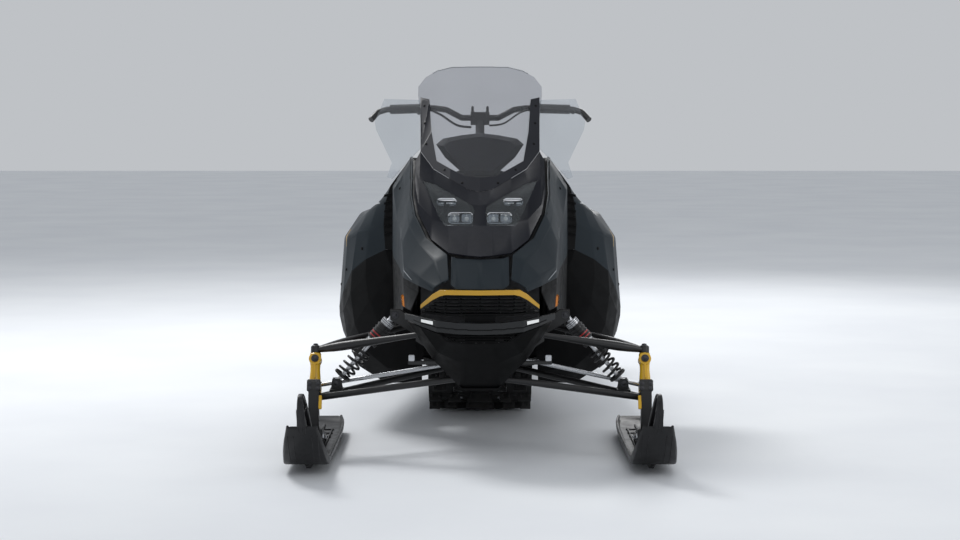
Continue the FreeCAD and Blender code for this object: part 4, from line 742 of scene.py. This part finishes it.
LENS_OUTLINE = [(196, 893), (147, 884), (18, 816), (10, 794), (18, 742), (119, 742), (143, 777)]
bm = bmesh.new()
for sign, _ in SIDES:
    front = []
    level = at(0, 700, 0).y
    for (x, z), (x2, z2) in zip(LENS_OUTLINE, LENS_OUTLINE[1:] + LENS_OUTLINE[:1]):
        for step in range(6):
            spot = at(sign * (x + (x2 - x) * step / 6), 200, z + (z2 - z) * step / 6)
            hit = foremost(("headlight_mask", "headlight_lenses"), spot)
            level = level if hit is None else hit.y
            front.append(Vector((spot.x, level + 0.0048, spot.z)))
    centre = sum(front, Vector()) / len(front)
    back = [p.lerp(centre, 0.04) + Vector((0, 0.047, 0)) for p in front]
    rows = [[bm.verts.new(p) for p in row] for row in (front, back)]
    skin(bm, rows)
    hub = bm.verts.new(sum(back, Vector()) / len(back))
    for first, second in zip(rows[1], rows[1][1:] + rows[1][:1]):
        bm.faces.new((first, second, hub))
add_wall(piece("lamp_housings", bm, BLACK), 0.0014)


# Dark strips behind the seam between the cowls and the headlight mask: painted shade that makes the seam read
# as a dark line

SEAM_GAP = 0.06
bm = bmesh.new()
for sign, _ in SIDES:
    rows = []
    for level in range(690, 986, 8):
        spots = [at(sign * x, 150, level) for x in range(92, 340, 2)]
        edge = sweep(("headlight_mask", "windshield_frame"), reversed(spots[:80]))
        shell = sweep(("cowls",), spots[4:])
        if edge is None or shell is None or abs(abs(shell.x) - abs(edge.x)) > SEAM_GAP:
            continue
        inner = Vector((edge.x - sign * 0.010, edge.y + 0.0075, edge.z))
        outer = Vector((shell.x + sign * 0.008, max(shell.y, edge.y) + 0.0085, shell.z))
        rows.append([bm.verts.new(p) for p in (inner, inner.lerp(outer, 0.5), outer)])
    skin(bm, rows, False)
add_wall(piece("seam_shade_strips", bm, BLACK), 0.002)


# A pale line along the top of the windshield as a painted highlight, and the ribs and base of the tail lamp

bm = bmesh.new()
path = []
for step in range(57):
    x = -0.168 + 0.006 * step
    hit = sweep(("windshield",), [Vector((x, -1.5, level / 1000)) for level in range(1275, 1180, -1)])
    if hit is not None:
        path.append(hit + Vector((0, 0.001, 0)))
# the pale tube on the windshield's top edge is a painted highlight
add_tube(bm, path, 0.0017, 8)
piece("screen_top_highlight", bm, PALE_HIGHLIGHT_AND_ACCENT, sharp=60)
low_lamp, high_lamp = [Vector(corner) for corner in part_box("tail_lamp")]
bm = bmesh.new()
size = high_lamp - low_lamp
middle = (low_lamp.z + high_lamp.z) / 2
spots = [Vector((low_lamp.x + size.x * (step + 1) / 10, 1.7, middle)) for step in range(9)]
for hit, _ in dropped("tail_lamp", spots, (0, -1, 0)):
    half = Vector((0.001, 0.0012, size.z * 0.36))
    add_box(bm, hit - half, hit + half, 0.0004)
piece("tail_lamp_ribs", bm, RED)
bm = bmesh.new()
add_box(bm, low_lamp - Vector((0.004, 0.004, 0)),
        (high_lamp.x + 0.004, high_lamp.y + 0.003, low_lamp.z + 0.006), 0.002)
piece("tail_lamp_base", bm, BLACK)


# Intake slats under the bumper, a darker line along it that stands for its groove as painted shade, and the
# small blocks of the front frame

bm = bmesh.new()
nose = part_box("nose_bracket")[0][1]
for level, reach in ((398, 88), (406.5, 100), (415, 110)):
    add_box(bm, (-reach / 1000, nose - 0.010, level / 1000),
            (reach / 1000, nose - 0.001, (level + 3.5) / 1000), 0.0012)
for x in (-38, 0, 38):
    add_box(bm, ((x - 2) / 1000, nose - 0.006, 0.398), ((x + 2) / 1000, nose, 0.4185), 0.0006)
piece("low_intake", bm, BLACK)
bm = bmesh.new()
low_bumper, high_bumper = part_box("front_bumper")
levels = range(int(low_bumper[2] * 1000), int(high_bumper[2] * 1000) + 1, 2)
path = []
for step in range(61):
    x = -0.21 + 0.42 * step / 60
    hits = dropped("front_bumper", [Vector((x, -1.7, level / 1000)) for level in levels], (0, 1, 0))
    if hits:
        path.append(hits[int(len(hits) * 0.42)][0] + Vector((0, 0.0006, 0)))
# a darker raised line where the groove runs: painted shade
add_tube(bm, path, 0.0026, 8, False, 0.6)
piece("bumper_groove_shade", bm, BLACK)
brackets = bmesh.new()
blocks = bmesh.new()
for sign, _ in SIDES:
    add_side_box(brackets, sign, (86, 231), (455, 473), (311.5, 322.8), 0.0015)
    add_side_box(blocks, sign, (210, 229), (454, 472), (323, 342), 0.0015)
    add_cone(blocks, at(sign * 219.5, 453, 332.5), (0, -1, 0), 0.0062, 0.0058, 0.003, 20)
piece("frame_brackets", brackets, BLACK_PAINT)
piece("frame_blocks", blocks, ALUMINIUM)


# Track: a belt round its four circles, lugs in separate blocks, and guide clips

# station, height and radius of each circle
BELT_WHEELS = [(1235, 430, 92), (1960, 395, 70), (2595, 138, 100), (1620, 238, 200)]
BELT_STEP = 12
LUG_PITCH = 73


def belt_path():
    """(place, outward direction) every few millimetres along the belt's inner face."""
    leave = []
    for index, (s1, z1, r1) in enumerate(BELT_WHEELS):
        s2, z2, r2 = BELT_WHEELS[(index + 1) % 4]
        length = math.hypot(s2 - s1, z2 - z1)
        leave.append(math.atan2(z2 - z1, s2 - s1) + math.pi / 2 + math.asin((r2 - r1) / length))
    path = []
    for index, (s1, z1, r1) in enumerate(BELT_WHEELS):
        start = leave[index - 1]
        end = leave[index]
        while start < end:
            start += 2 * math.pi
        steps = max(2, int(r1 * (start - end) / BELT_STEP))
        for step in range(steps):
            angle = start + (end - start) * step / steps
            path.append((s1 + r1 * math.cos(angle), z1 + r1 * math.sin(angle), angle))
        s2, z2, r2 = BELT_WHEELS[(index + 1) % 4]
        first = (s1 + r1 * math.cos(end), z1 + r1 * math.sin(end))
        last = (s2 + r2 * math.cos(end), z2 + r2 * math.sin(end))
        steps = int(math.hypot(last[0] - first[0], last[1] - first[1]) / BELT_STEP)
        for step in range(steps):
            share = step / steps
            path.append((first[0] + (last[0] - first[0]) * share, first[1] + (last[1] - first[1]) * share,
                         end))
    return path


BELT = belt_path()
lengths = [0.0]
for (s1, z1, _), (s2, z2, _) in zip(BELT, BELT[1:] + BELT[:1]):
    lengths.append(lengths[-1] + math.hypot(s2 - s1, z2 - z1))
LUGS = round(lengths[-1] / LUG_PITCH)


def on_belt(distance, height):
    """A place at a distance along the belt and a height over it."""
    distance %= lengths[-1]
    index = 0
    while lengths[index + 1] < distance:
        index += 1
    s1, z1, a1 = BELT[index]
    s2, z2, a2 = BELT[(index + 1) % len(BELT)]
    share = (distance - lengths[index]) / (lengths[index + 1] - lengths[index])
    turn = (a2 - a1 + math.pi) % (2 * math.pi) - math.pi
    angle = a1 + turn * share
    return at(0, s1 + (s2 - s1) * share + height * math.cos(angle),
              z1 + (z2 - z1) * share + height * math.sin(angle))


def track_block(bm, distance, x_low, x_high, foot, tip, low, high):
    """A block on the belt: its foot and tip lengths along the belt, from one height to another."""
    corners = []
    for height, half in ((low, foot / 2), (high, tip / 2)):
        for shift in (-half, half):
            place = on_belt(distance + shift, height)
            for x in (x_low, x_high):
                corners.append(bm.verts.new((x / 1000, place.y, place.z)))
    for face in ((0, 1, 3, 2), (4, 6, 7, 5), (0, 2, 6, 4), (1, 5, 7, 3), (0, 4, 5, 1), (2, 3, 7, 6)):
        bm.faces.new([corners[k] for k in face])


bm = bmesh.new()
rows = []
for s, z, angle in BELT:
    rows.append([bm.verts.new(at(x, s + height * math.cos(angle), z + height * math.sin(angle)))
                 for x, height in ((-190.5, 0), (190.5, 0), (190.5, 6), (-190.5, 6))])
skin(bm, rows, True, True)
pitch = lengths[-1] / LUGS
# blocks of a row from the middle outwards: near and far edge, tip height
PATTERNS = [
    [(0, 44, 38), (74, 116, 38), (142, 189, 34)],
    [(0, 30, 36), (50, 96, 38), (124, 172, 38)],
    [(0, 52, 38), (86, 130, 36), (150, 189, 38)],
]
for lug in range(LUGS):
    distance = lug * pitch
    for x in (-190, -112, -36, 36, 112):
        track_block(bm, distance, x, x + 78 if x != -36 else 36, 16, 12, 5.5, 11)
    for near, far, tip in PATTERNS[lug % 3]:
        spans = [(-far, far)] if near == 0 else [(near, far), (-far, -near)]
        for low, high in spans:
            track_block(bm, distance, low, high, 14, 8, 6, tip)
            track_block(bm, distance + 8, low + 6, low + 13, 16, 10, 6, tip - 12)
            track_block(bm, distance + 8, high - 13, high - 6, 16, 10, 6, tip - 12)
track = piece("track_belt", bm, TRACK)
soften = track.modifiers.new("bevel", "BEVEL")
soften.width = 0.0012
soften.segments = 1
soften.limit_method = "ANGLE"
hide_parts("track")

bm = bmesh.new()
for lug in range(LUGS):
    for x in (-98, 66):
        track_block(bm, (lug + 0.5) * pitch, x, x + 32, 30, 26, 5.5, 8.5)
        track_block(bm, (lug + 0.5) * pitch, x + 11, x + 21, 22, 16, 8, 12)
piece("track_clips", bm, STEEL)


# Fasteners: bolts on the suspension, rivets along the tunnel

FORWARD = (0, -1, 0)
REARWARD = (0, 1, 0)
BOLTS = [
    # station, x, height, direction, radius
    (458, 39, 266, FORWARD, 8), (458, 190, 405, FORWARD, 8), (912.5, 39, 266, REARWARD, 8),
    (912.5, 190, 405, REARWARD, 8), (593.5, 471.5, 234, FORWARD, 8), (593.5, 277.5, 458, FORWARD, 8),
    (630.5, 471.5, 234, REARWARD, 7), (630.5, 277.5, 458, REARWARD, 7),
]
bm = bmesh.new()
for station, x, z, direction, radius in BOLTS:
    for sign, _ in SIDES:
        add_bolt(bm, at(x * sign, station, z), direction, radius / 1000)
piece("suspension_bolts", bm, DARK_STEEL)
for sign, side in SIDES:
    bm = bmesh.new()
    for end in (1, -1):
        add_bolt(bm, at(sign * (SKI_X + end * 30.8), *ROCK_BOLT), (sign * end, 0, 0), 0.011)
    piece("ski_bolt_" + side, bm, STEEL, "knuckle_" + side)
    bm = bmesh.new()
    add_bolt(bm, kingpin_spot(sign, 0, 0, UPPER_BALL_UP + 12), KINGPIN, 0.009)
    add_bolt(bm, kingpin_spot(sign, 0, 0, -12), -KINGPIN, 0.009)
    piece("ball_joint_" + side, bm, DARK_STEEL)
    bm = bmesh.new()
    add_bolt(bm, kingpin_spot(sign, 0, -26, HEAD_UP), -BACK, 0.0085)
    for across in (-13, 13):
        for up in (14, 30):
            add_bolt(bm, kingpin_spot(sign, across, -59, up), -BACK, 0.0045)
    piece("spindle_bolts_" + side, bm, DARK_STEEL, "knuckle_" + side)

bm = bmesh.new()
for sign, _ in SIDES:
    for index in range(25):
        station = 1130 + index * 71
        add_rivet(bm, at(sign * 207, station, 572), (sign, 0, 0), 0.0042)
        add_rivet(bm, at(sign * 207, station + 20, 276 + (station - 1090) * 0.0503), (sign, 0, 0), 0.0042)
        if station > 2360:
            add_rivet(bm, at(sign * 190, station, 586), (0, 0, 1), 0.0042)
piece("tunnel_rivets", bm, ALUMINIUM)


# Seals that close the slits between the tunnel's sides and the track

bm = bmesh.new()
for sign, _ in SIDES:
    add_side_box(bm, sign, (168, 203.5), (1091.5, 1096), (252, 582), 0.001)
    add_side_box(bm, sign, (196, 224), (1083, 1088.5), (252, 582), 0.001)
    for level in range(270, 570, 30):
        add_side_box(bm, sign, (172, 199), (1089.5, 1092), (level, level + 8), 0.001)
piece("tunnel_seals", bm, BLACK)


# Running boards: raised rings round the holes that let the snow through; each hole is a flat black disc,
# painted shade for the open hole

rings = bmesh.new()
holes = bmesh.new()
for sign, _ in SIDES:
    spots = []
    for row in range(3):
        for index in range(34):
            station = 1368 + index * 37 + (18 if row == 1 else 0)
            outer = 440 - (station - 1360) * 0.095
            spots.append(at(sign * (236 + (outer - 256) * row / 2), station, 420))
    for hit, normal in dropped("running_boards", spots, (0, 0, -1), 0.0006):
        add_cone(rings, hit + normal * 0.0015, normal, 0.0115, 0.0085, 0.003, 16, False)
        add_cone(rings, hit + normal * 0.0015, normal, 0.0082, 0.0082, 0.003, 16, False)
        # a black disc where the hole opens: painted shade
        add_cone(holes, hit, normal, 0.0080, 0.0080, 0.0004, 16)
piece("board_rings", rings, ALUMINIUM)
piece("board_hole_shade", holes, BLACK)


# Headlights: twin square lamps and a bar lamp on each side, each in its bright frame

def square_loop(middle, half, tall, corner):
    """Points round a square with rounded corners, facing the front."""
    path = []
    for cx, cz, start in ((1, 1, 0), (-1, 1, 90), (-1, -1, 180), (1, -1, 270)):
        for step in range(5):
            angle = math.radians(start + step * 22.5)
            path.append(middle + Vector((cx * (half - corner) + corner * math.cos(angle), 0,
                                         cz * (tall - corner) + corner * math.sin(angle))))
    return path


frames = bmesh.new()
glow = bmesh.new()
bowls = bmesh.new()
for sign, _ in SIDES:
    # twin lamps: a shared frame, a bowl each and a lamp in every bowl
    middle = at(sign * 64, 656, 771)
    add_tube(frames, square_loop(middle, 0.040, 0.018, 0.011), 0.0019, 8, True)
    for x, front in ((44, 661), (84, 657)):
        middle = at(sign * x, front, 771)
        add_tube(frames, square_loop(middle, 0.016, 0.0135, 0.005), 0.0013, 8, True)
        add_box(bowls, middle + Vector((-0.015, 0.001, -0.012)), middle + Vector((0.015, 0.004, 0.012)),
                0.0014)
        add_cone(glow, middle + Vector((0, -0.001, -0.003)), (0, -1, 0), 0.0075, 0.0045, 0.005, 24)
        add_cone(bowls, middle + Vector((0, -0.002, 0.008)), (0, -1, 0.4), 0.0032, 0.002, 0.004, 14)
    # bar lamp: a long frame round two bowed reflectors
    middle = at(sign * 110, 704, 822)
    add_tube(frames, square_loop(middle, 0.031, 0.0115, 0.010), 0.0021, 8, True)
    for level in (-0.0055, 0.0055):
        path = [middle + Vector((0.026 * t, 0.002 - 0.002 * math.cos(1.5 * t), level)) for t in
                [-1 + 0.2 * k for k in range(11)]]
        add_tube(bowls, path, 0.0042, 10, False, 0.8)
    for shift in (-0.016, 0, 0.016):
        add_cone(glow, middle + Vector((shift, -0.003, -0.0055)), (0, -1, 0), 0.003, 0.0018, 0.003, 16)
piece("lamp_frames", frames, CHROME)
piece("lamp_bowls", bowls, ALUMINIUM)
piece("lamp_cores", glow, LAMP_WHITE)


# Front shocks: red rings and collars

bm = bmesh.new()
dark = bmesh.new()
for sign, _ in SIDES:
    low, line = shock_line(sign)
    for share in (0.670, 0.711):
        add_cone(bm, low + line * share, line, 0.0240, 0.0240, 0.0036, 32)
    for share in (0.865, 0.885):
        add_cone(dark, low + line * share, line, 0.0234, 0.0234, 0.002, 32)
piece("shock_red_rings", bm, RED_PAINT)
piece("shock_collars", dark, BLACK_PAINT)


# Pale lines on the hood's cowls as painted highlights along their creases, and accent lines on the side
# panels

bm = bmesh.new()
gold = bmesh.new()
# node, places back and up, widths
# the pale strip on the cowls is a painted highlight along a crease; the side panels' strips are accents
STRIPS = [(bm, "cowls", ((745, 735), (690, 700), (620, 655), (560, 606), (500, 580)),
           (0.001, 0.003, 0.004, 0.004, 0.002)),
          (bm, "side_panels", ((1090, 800), (1130, 800), (1180, 770)), (0.003, 0.014, 0.004)),
          (gold, "side_panels", ((1215, 640), (1240, 668), (1262, 682)), (0.005, 0.007, 0.003)),
          (gold, "side_panels", ((1225.8, 658), (1250.8, 686), (1272.8, 700)), (0.005, 0.007, 0.003))]
for sign, _ in SIDES:
    for strips, node, places, widths in STRIPS:
        add_strip(strips, node, [at(sign * 700, *place) for place in places], widths, (-sign, 0, 0))
piece("highlight_and_accent_lines", bm, PALE_HIGHLIGHT_AND_ACCENT)
piece("gold_lines", gold, GOLD)


# Handlebar clamp and fuel cap

bm = bmesh.new()
for x in (-20, 20):
    for back in (-14, 14):
        add_bolt(bm, at(x, 1400 + back, 1116), (0, 0, 1), 0.005)
piece("bar_clamp_bolts", bm, STEEL, "handlebar_body")
bm = bmesh.new()
add_box(bm, at(-30, 1376, 1111), at(30, 1424, 1117), 0.002, 0.9)
for x in (-27, 27):
    hook = [at(x, station, z) for station, z in ((1372, 1096), (1371, 1120), (1376, 1134), (1384, 1122))]
    add_tube(bm, smooth_path(hook, 6), 0.005, 10)
piece("bar_clamp", bm, BLACK_PAINT, "handlebar_body")
bm = bmesh.new()
cap = at(0, 1345, 912) + Vector((0, -0.004, 0))
CAP_AXIS = (0, -0.1, 1)
for level, radius in ((-6, 38), (6, 36), (16, 34), (20, 28)):
    add_cone(bm, cap + Vector((0, 0, level / 1000)), CAP_AXIS, radius / 1000, radius / 1050, 0.012, 40)
for u, v in circle(12):
    add_cone(bm, cap + Vector((0.036 * u, 0.036 * v, 0.008)), CAP_AXIS, 0.005, 0.004, 0.018, 8)
piece("fuel_cap", bm, BLACK)


# Seat: the CAD form as a padded cushion under its cover, with piping and sewn channels

def cushion(node, name, material, shrink, swell, base):
    """A padded copy of a CAD node: its cover swells a little, its base stays flat."""
    copy = bpy.data.meshes.new(name)
    bm = bmesh.new()
    bm.from_mesh(NODES[node].data)
    centre = sum((v.co for v in bm.verts), Vector()) / len(bm.verts)
    for v in bm.verts:
        v.co.x *= shrink
        v.co.y = centre.y + (v.co.y - centre.y) * (1 - (1 - shrink) * 0.5)
        if v.co.z > base:
            v.co.z = base + (v.co.z - base) * shrink
    bm.to_mesh(copy)
    bm.free()
    pad = bpy.data.objects.new(name, copy)
    bpy.context.collection.objects.link(pad)
    bpy.context.view_layer.objects.active = pad
    pad.select_set(True)
    remesh = pad.modifiers.new("remesh", "REMESH")
    remesh.mode = "VOXEL"
    remesh.voxel_size = 0.0065
    bpy.ops.object.modifier_apply(modifier=remesh.name)
    held = pad.vertex_groups.new(name="base")
    held.add([v.index for v in pad.data.vertices if v.co.z < base + 0.012], 1.0, "REPLACE")
    before = [v.co.copy() for v in pad.data.vertices]
    cloth = pad.modifiers.new("cloth", "CLOTH")
    cloth.settings.quality = 6
    cloth.settings.mass = 0.3
    cloth.settings.vertex_group_mass = "base"
    cloth.settings.use_pressure = True
    cloth.settings.uniform_pressure_force = 4
    cloth.settings.effector_weights.gravity = 0
    for number in range(1, 21):
        bpy.context.scene.frame_set(number)
    shaped = pad.evaluated_get(bpy.context.evaluated_depsgraph_get()).to_mesh()
    after = [v.co.copy() for v in shaped.vertices]
    pad.modifiers.remove(cloth)
    bpy.context.scene.frame_set(1)
    for vertex, start, end in zip(pad.data.vertices, before, after):
        move = end - start
        vertex.co = start + (move if move.length <= swell else move * (swell / move.length))
    smooth = pad.modifiers.new("smooth", "CORRECTIVE_SMOOTH")
    smooth.factor = 0.5
    smooth.iterations = 4
    smooth.smooth_type = "SIMPLE"
    smooth.use_only_smooth = True
    bpy.ops.object.modifier_apply(modifier=smooth.name)
    pad.data.materials.append(material)
    pad.data.shade_smooth()
    pad.select_set(False)
    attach(pad, "chassis")
    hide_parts(node)
    TREES[name] = tree_of(pad.data)


def seam(bm, starts, direction, radius):
    """A line of piping laid on the seat."""
    add_line(bm, "seat_pad", starts, direction, -radius * 0.15, radius, 8)


cushion("seat", "seat_pad", SEAT, 0.985, 0.008, 0.5865)
DOWN = (0, 0, -1)
bm = bmesh.new()
thread = bmesh.new()
for sign, _ in SIDES:
    line = [at(sign * 400, 1494 + k * 12.5, 742 + 14 * math.sin((k - 10) / 60 * math.pi)) for k in range(66)]
    seam(bm, line, (-sign, 0, 0), 0.0032)
    line = [at(sign * 400, 1500 + k * 12.5, 640) for k in range(65)]
    seam(bm, line, (-sign, 0, 0), 0.0024)
for station in (1640, 1780, 1920, 2060, 2200):
    line = [at(-118 + k * 6, station + 14 * math.cos(k / 39.3 * math.pi), 900) for k in range(40)]
    seam(bm, line, DOWN, 0.0022)
for sign, _ in SIDES:
    line = [at(sign * (96 + 8 * math.sin(k / 62 * math.pi)), 1510 + k * 12.5, 900) for k in range(63)]
    seam(bm, line, DOWN, 0.0024)
    stitches = [at(sign * 104, 1512 + k * 8.2, 900) for k in range(96)]
    for hit, _ in dropped("seat_pad", stitches, DOWN, 0.0004):
        add_box(thread, hit - Vector((0.0006, 0.0024, 0.0004)), hit + Vector((0.0006, 0.0024, 0.0004)))
piece("seat_piping", bm, BLACK, sharp=60)
piece("seat_stitches", thread, PALE_HIGHLIGHT_AND_ACCENT)


# Gauge panel, its screen and buttons on the back of the gauge cowl

bm = bmesh.new()
glass = bmesh.new()
centre, facing = on_surface("gauge_cowl", at(0, 1400, 985), (0, -1, 0), 0.001)
side = Vector((1, 0, 0))
rise = facing.cross(side).normalized()
if rise.z < 0:
    rise = -rise


def panel_loop(half, tall, corner, lift):
    """Points round a rounded rectangle on the gauge cowl's back."""
    flat = square_loop(Vector((0, 0, 0)), half, tall, corner)
    return [centre + side * p.x + rise * p.z + facing * lift for p in flat]


add_tube(bm, panel_loop(0.088, 0.036, 0.014, 0.001), 0.0045, 8, True)
add_tube(bm, panel_loop(0.062, 0.030, 0.008, 0.002), 0.0022, 8, True)
outline = [glass.verts.new(p) for p in panel_loop(0.061, 0.029, 0.008, 0.0022)]
glass.faces.new(outline)
for shift in (-0.075, 0.075):
    for level in (-0.015, 0, 0.015):
        add_cone(bm, centre + side * shift + rise * level + facing * 0.002, facing, 0.006, 0.005, 0.004, 20)
piece("gauge_rim", bm, BLACK)
piece("gauge_screen", glass, DISPLAY)


# Hoses of the handlebar, riding on its body

def hose(name, places, radius):
    path = smooth_path([at(*place) for place in places], 10)
    bm = bmesh.new()
    add_tube(bm, path, radius, 10)
    made = piece(name, bm, BLACK_PAINT, "handlebar_body", 60)


hose("brake_hose", [(176, 1398, 1125), (140, 1386, 1112), (86, 1378, 1076), (34, 1384, 1068)], 0.0034)
hose("throttle_cable", [(-180, 1398, 1124), (-140, 1384, 1106), (-84, 1376, 1070), (-32, 1384, 1062)], 0.0042)


# Runners under the skis, ribs of the hand loops and the flap, and screws of the panels

LIFT = 0.0002
TROUGH_END = at(0, 252, 0).y
for sign, side_name in SIDES:
    body = "ski_%s_body" % side_name
    bm = bmesh.new()
    add_box(bm, at(sign * SKI_X - 8.6, 320, 0.2), at(sign * SKI_X + 8.6, 842, 4.5), 0.0008)
    piece("ski_runner_" + side_name, bm, STEEL, body)
    bm = bmesh.new()
    for across in (-11, 0, 11):
        starts = [at(sign * SKI_X + across, -200, level) for level in range(150, 262, 8)]
        add_line(bm, "ski_" + side_name, starts, REARWARD, LIFT, 0.0016, 6)
    for across in (-46, -28, 28, 46):
        starts = [at(sign * SKI_X + across, -200, level) for level in range(34, 142, 8)]
        add_line(bm, "ski_" + side_name, starts, REARWARD, LIFT, 0.0014, 6, TROUGH_END)
    piece("ski_ribs_" + side_name, bm, SKI, body)
bm = bmesh.new()
for x in (-150, -90, -30, 30, 90, 150):
    starts = [at(x, 3400, level) for level in range(130, 566, 12)]
    add_line(bm, "snow_flap", starts, FORWARD, LIFT, 0.0026, 6)
starts = [at(x, 3400, 574) for x in (-170, -100, 0, 100, 170)]
for hit, normal in dropped("snow_flap", starts, FORWARD, LIFT):
    add_bolt(bm, hit, normal, 0.006)
piece("flap_ribs", bm, TRACK)
bm = bmesh.new()
for sign, _ in SIDES:
    inward = (-sign, 0, 0)
    front = [at(sign * x, 200, z) for x, z in ((184, 1010), (190, 1080), (193, 1140), (120, 925), (60, 882))]
    upper = [at(sign * 600, s, z) for s, z in ((900, 860), (1030, 880))]
    lower = [at(sign * 700, s, z) for s, z in
             ((1120, 640), (1200, 560), (1290, 500), (1380, 470), (1380, 690))]
    for node, starts, direction, radius in (("windshield_frame", front, REARWARD, 0.0045),
                                            ("cowls", upper, inward, 0.0055),
                                            ("side_panels", lower, inward, 0.006)):
        for hit, normal in dropped(node, starts, direction, LIFT):
            add_rivet(bm, hit, normal, radius)
piece("panel_screws", bm, BLACK)


# Camera, light and floor

def sun_panel(name, place, aim, size, power):
    light = bpy.data.lights.new(name, "AREA")
    light.shape = "RECTANGLE"
    light.size, light.size_y = size
    light.energy = power
    lamp_object = bpy.data.objects.new(name, light)
    bpy.context.collection.objects.link(lamp_object)
    lamp_object.location = place
    lamp_object.rotation_euler = (Vector(aim) - Vector(place)).to_track_quat("-Z", "Y").to_euler()


camera_data = bpy.data.cameras.new("camera")
camera_data.lens = 77.8
camera_data.sensor_width = 36
camera_data.clip_end = 100
camera = bpy.data.objects.new("camera", camera_data)
bpy.context.collection.objects.link(camera)
camera.location = (0, -7.745, 1.130)
camera.rotation_euler = (math.radians(90 - 4.45), 0, 0)
bpy.context.scene.camera = camera

sun_panel("key", (-2.6, 2.0, 5.0), (0, -0.3, 0.4), (1.8, 1.8), 200)
sun_panel("side", (4.2, -2.6, 2.6), (0, -0.4, 0.6), (1.0, 2.4), 26)
sun_panel("front", (0.5, -5.6, 5.2), (0, -0.8, 0.6), (2.6, 2.6), 30)
sun_panel("rear", (1.8, 5.0, 3.2), (0, 0.8, 0.5), (2.0, 2.0), 70)

world = bpy.data.worlds.new("world")
world.use_nodes = True
world.node_tree.nodes["Background"].inputs["Color"].default_value = (0.84, 0.87, 0.91, 1)
world.node_tree.nodes["Background"].inputs["Strength"].default_value = 0.62
bpy.context.scene.world = world
bpy.context.scene.view_settings.view_transform = "Standard"

floor_shader = Shader("floor")
floor_shader.link(floor_shader.tint(floor_shader.noise(1.2, 5), (0.74, 0.76, 0.79), (0.80, 0.82, 0.84)),
                  floor_shader.shader.inputs["Base Color"])
floor_shader.set(Roughness=0.85)
bpy.ops.mesh.primitive_plane_add(size=60)
floor = bpy.context.object
floor.name = "floor"
floor.data.materials.append(floor_shader.material)
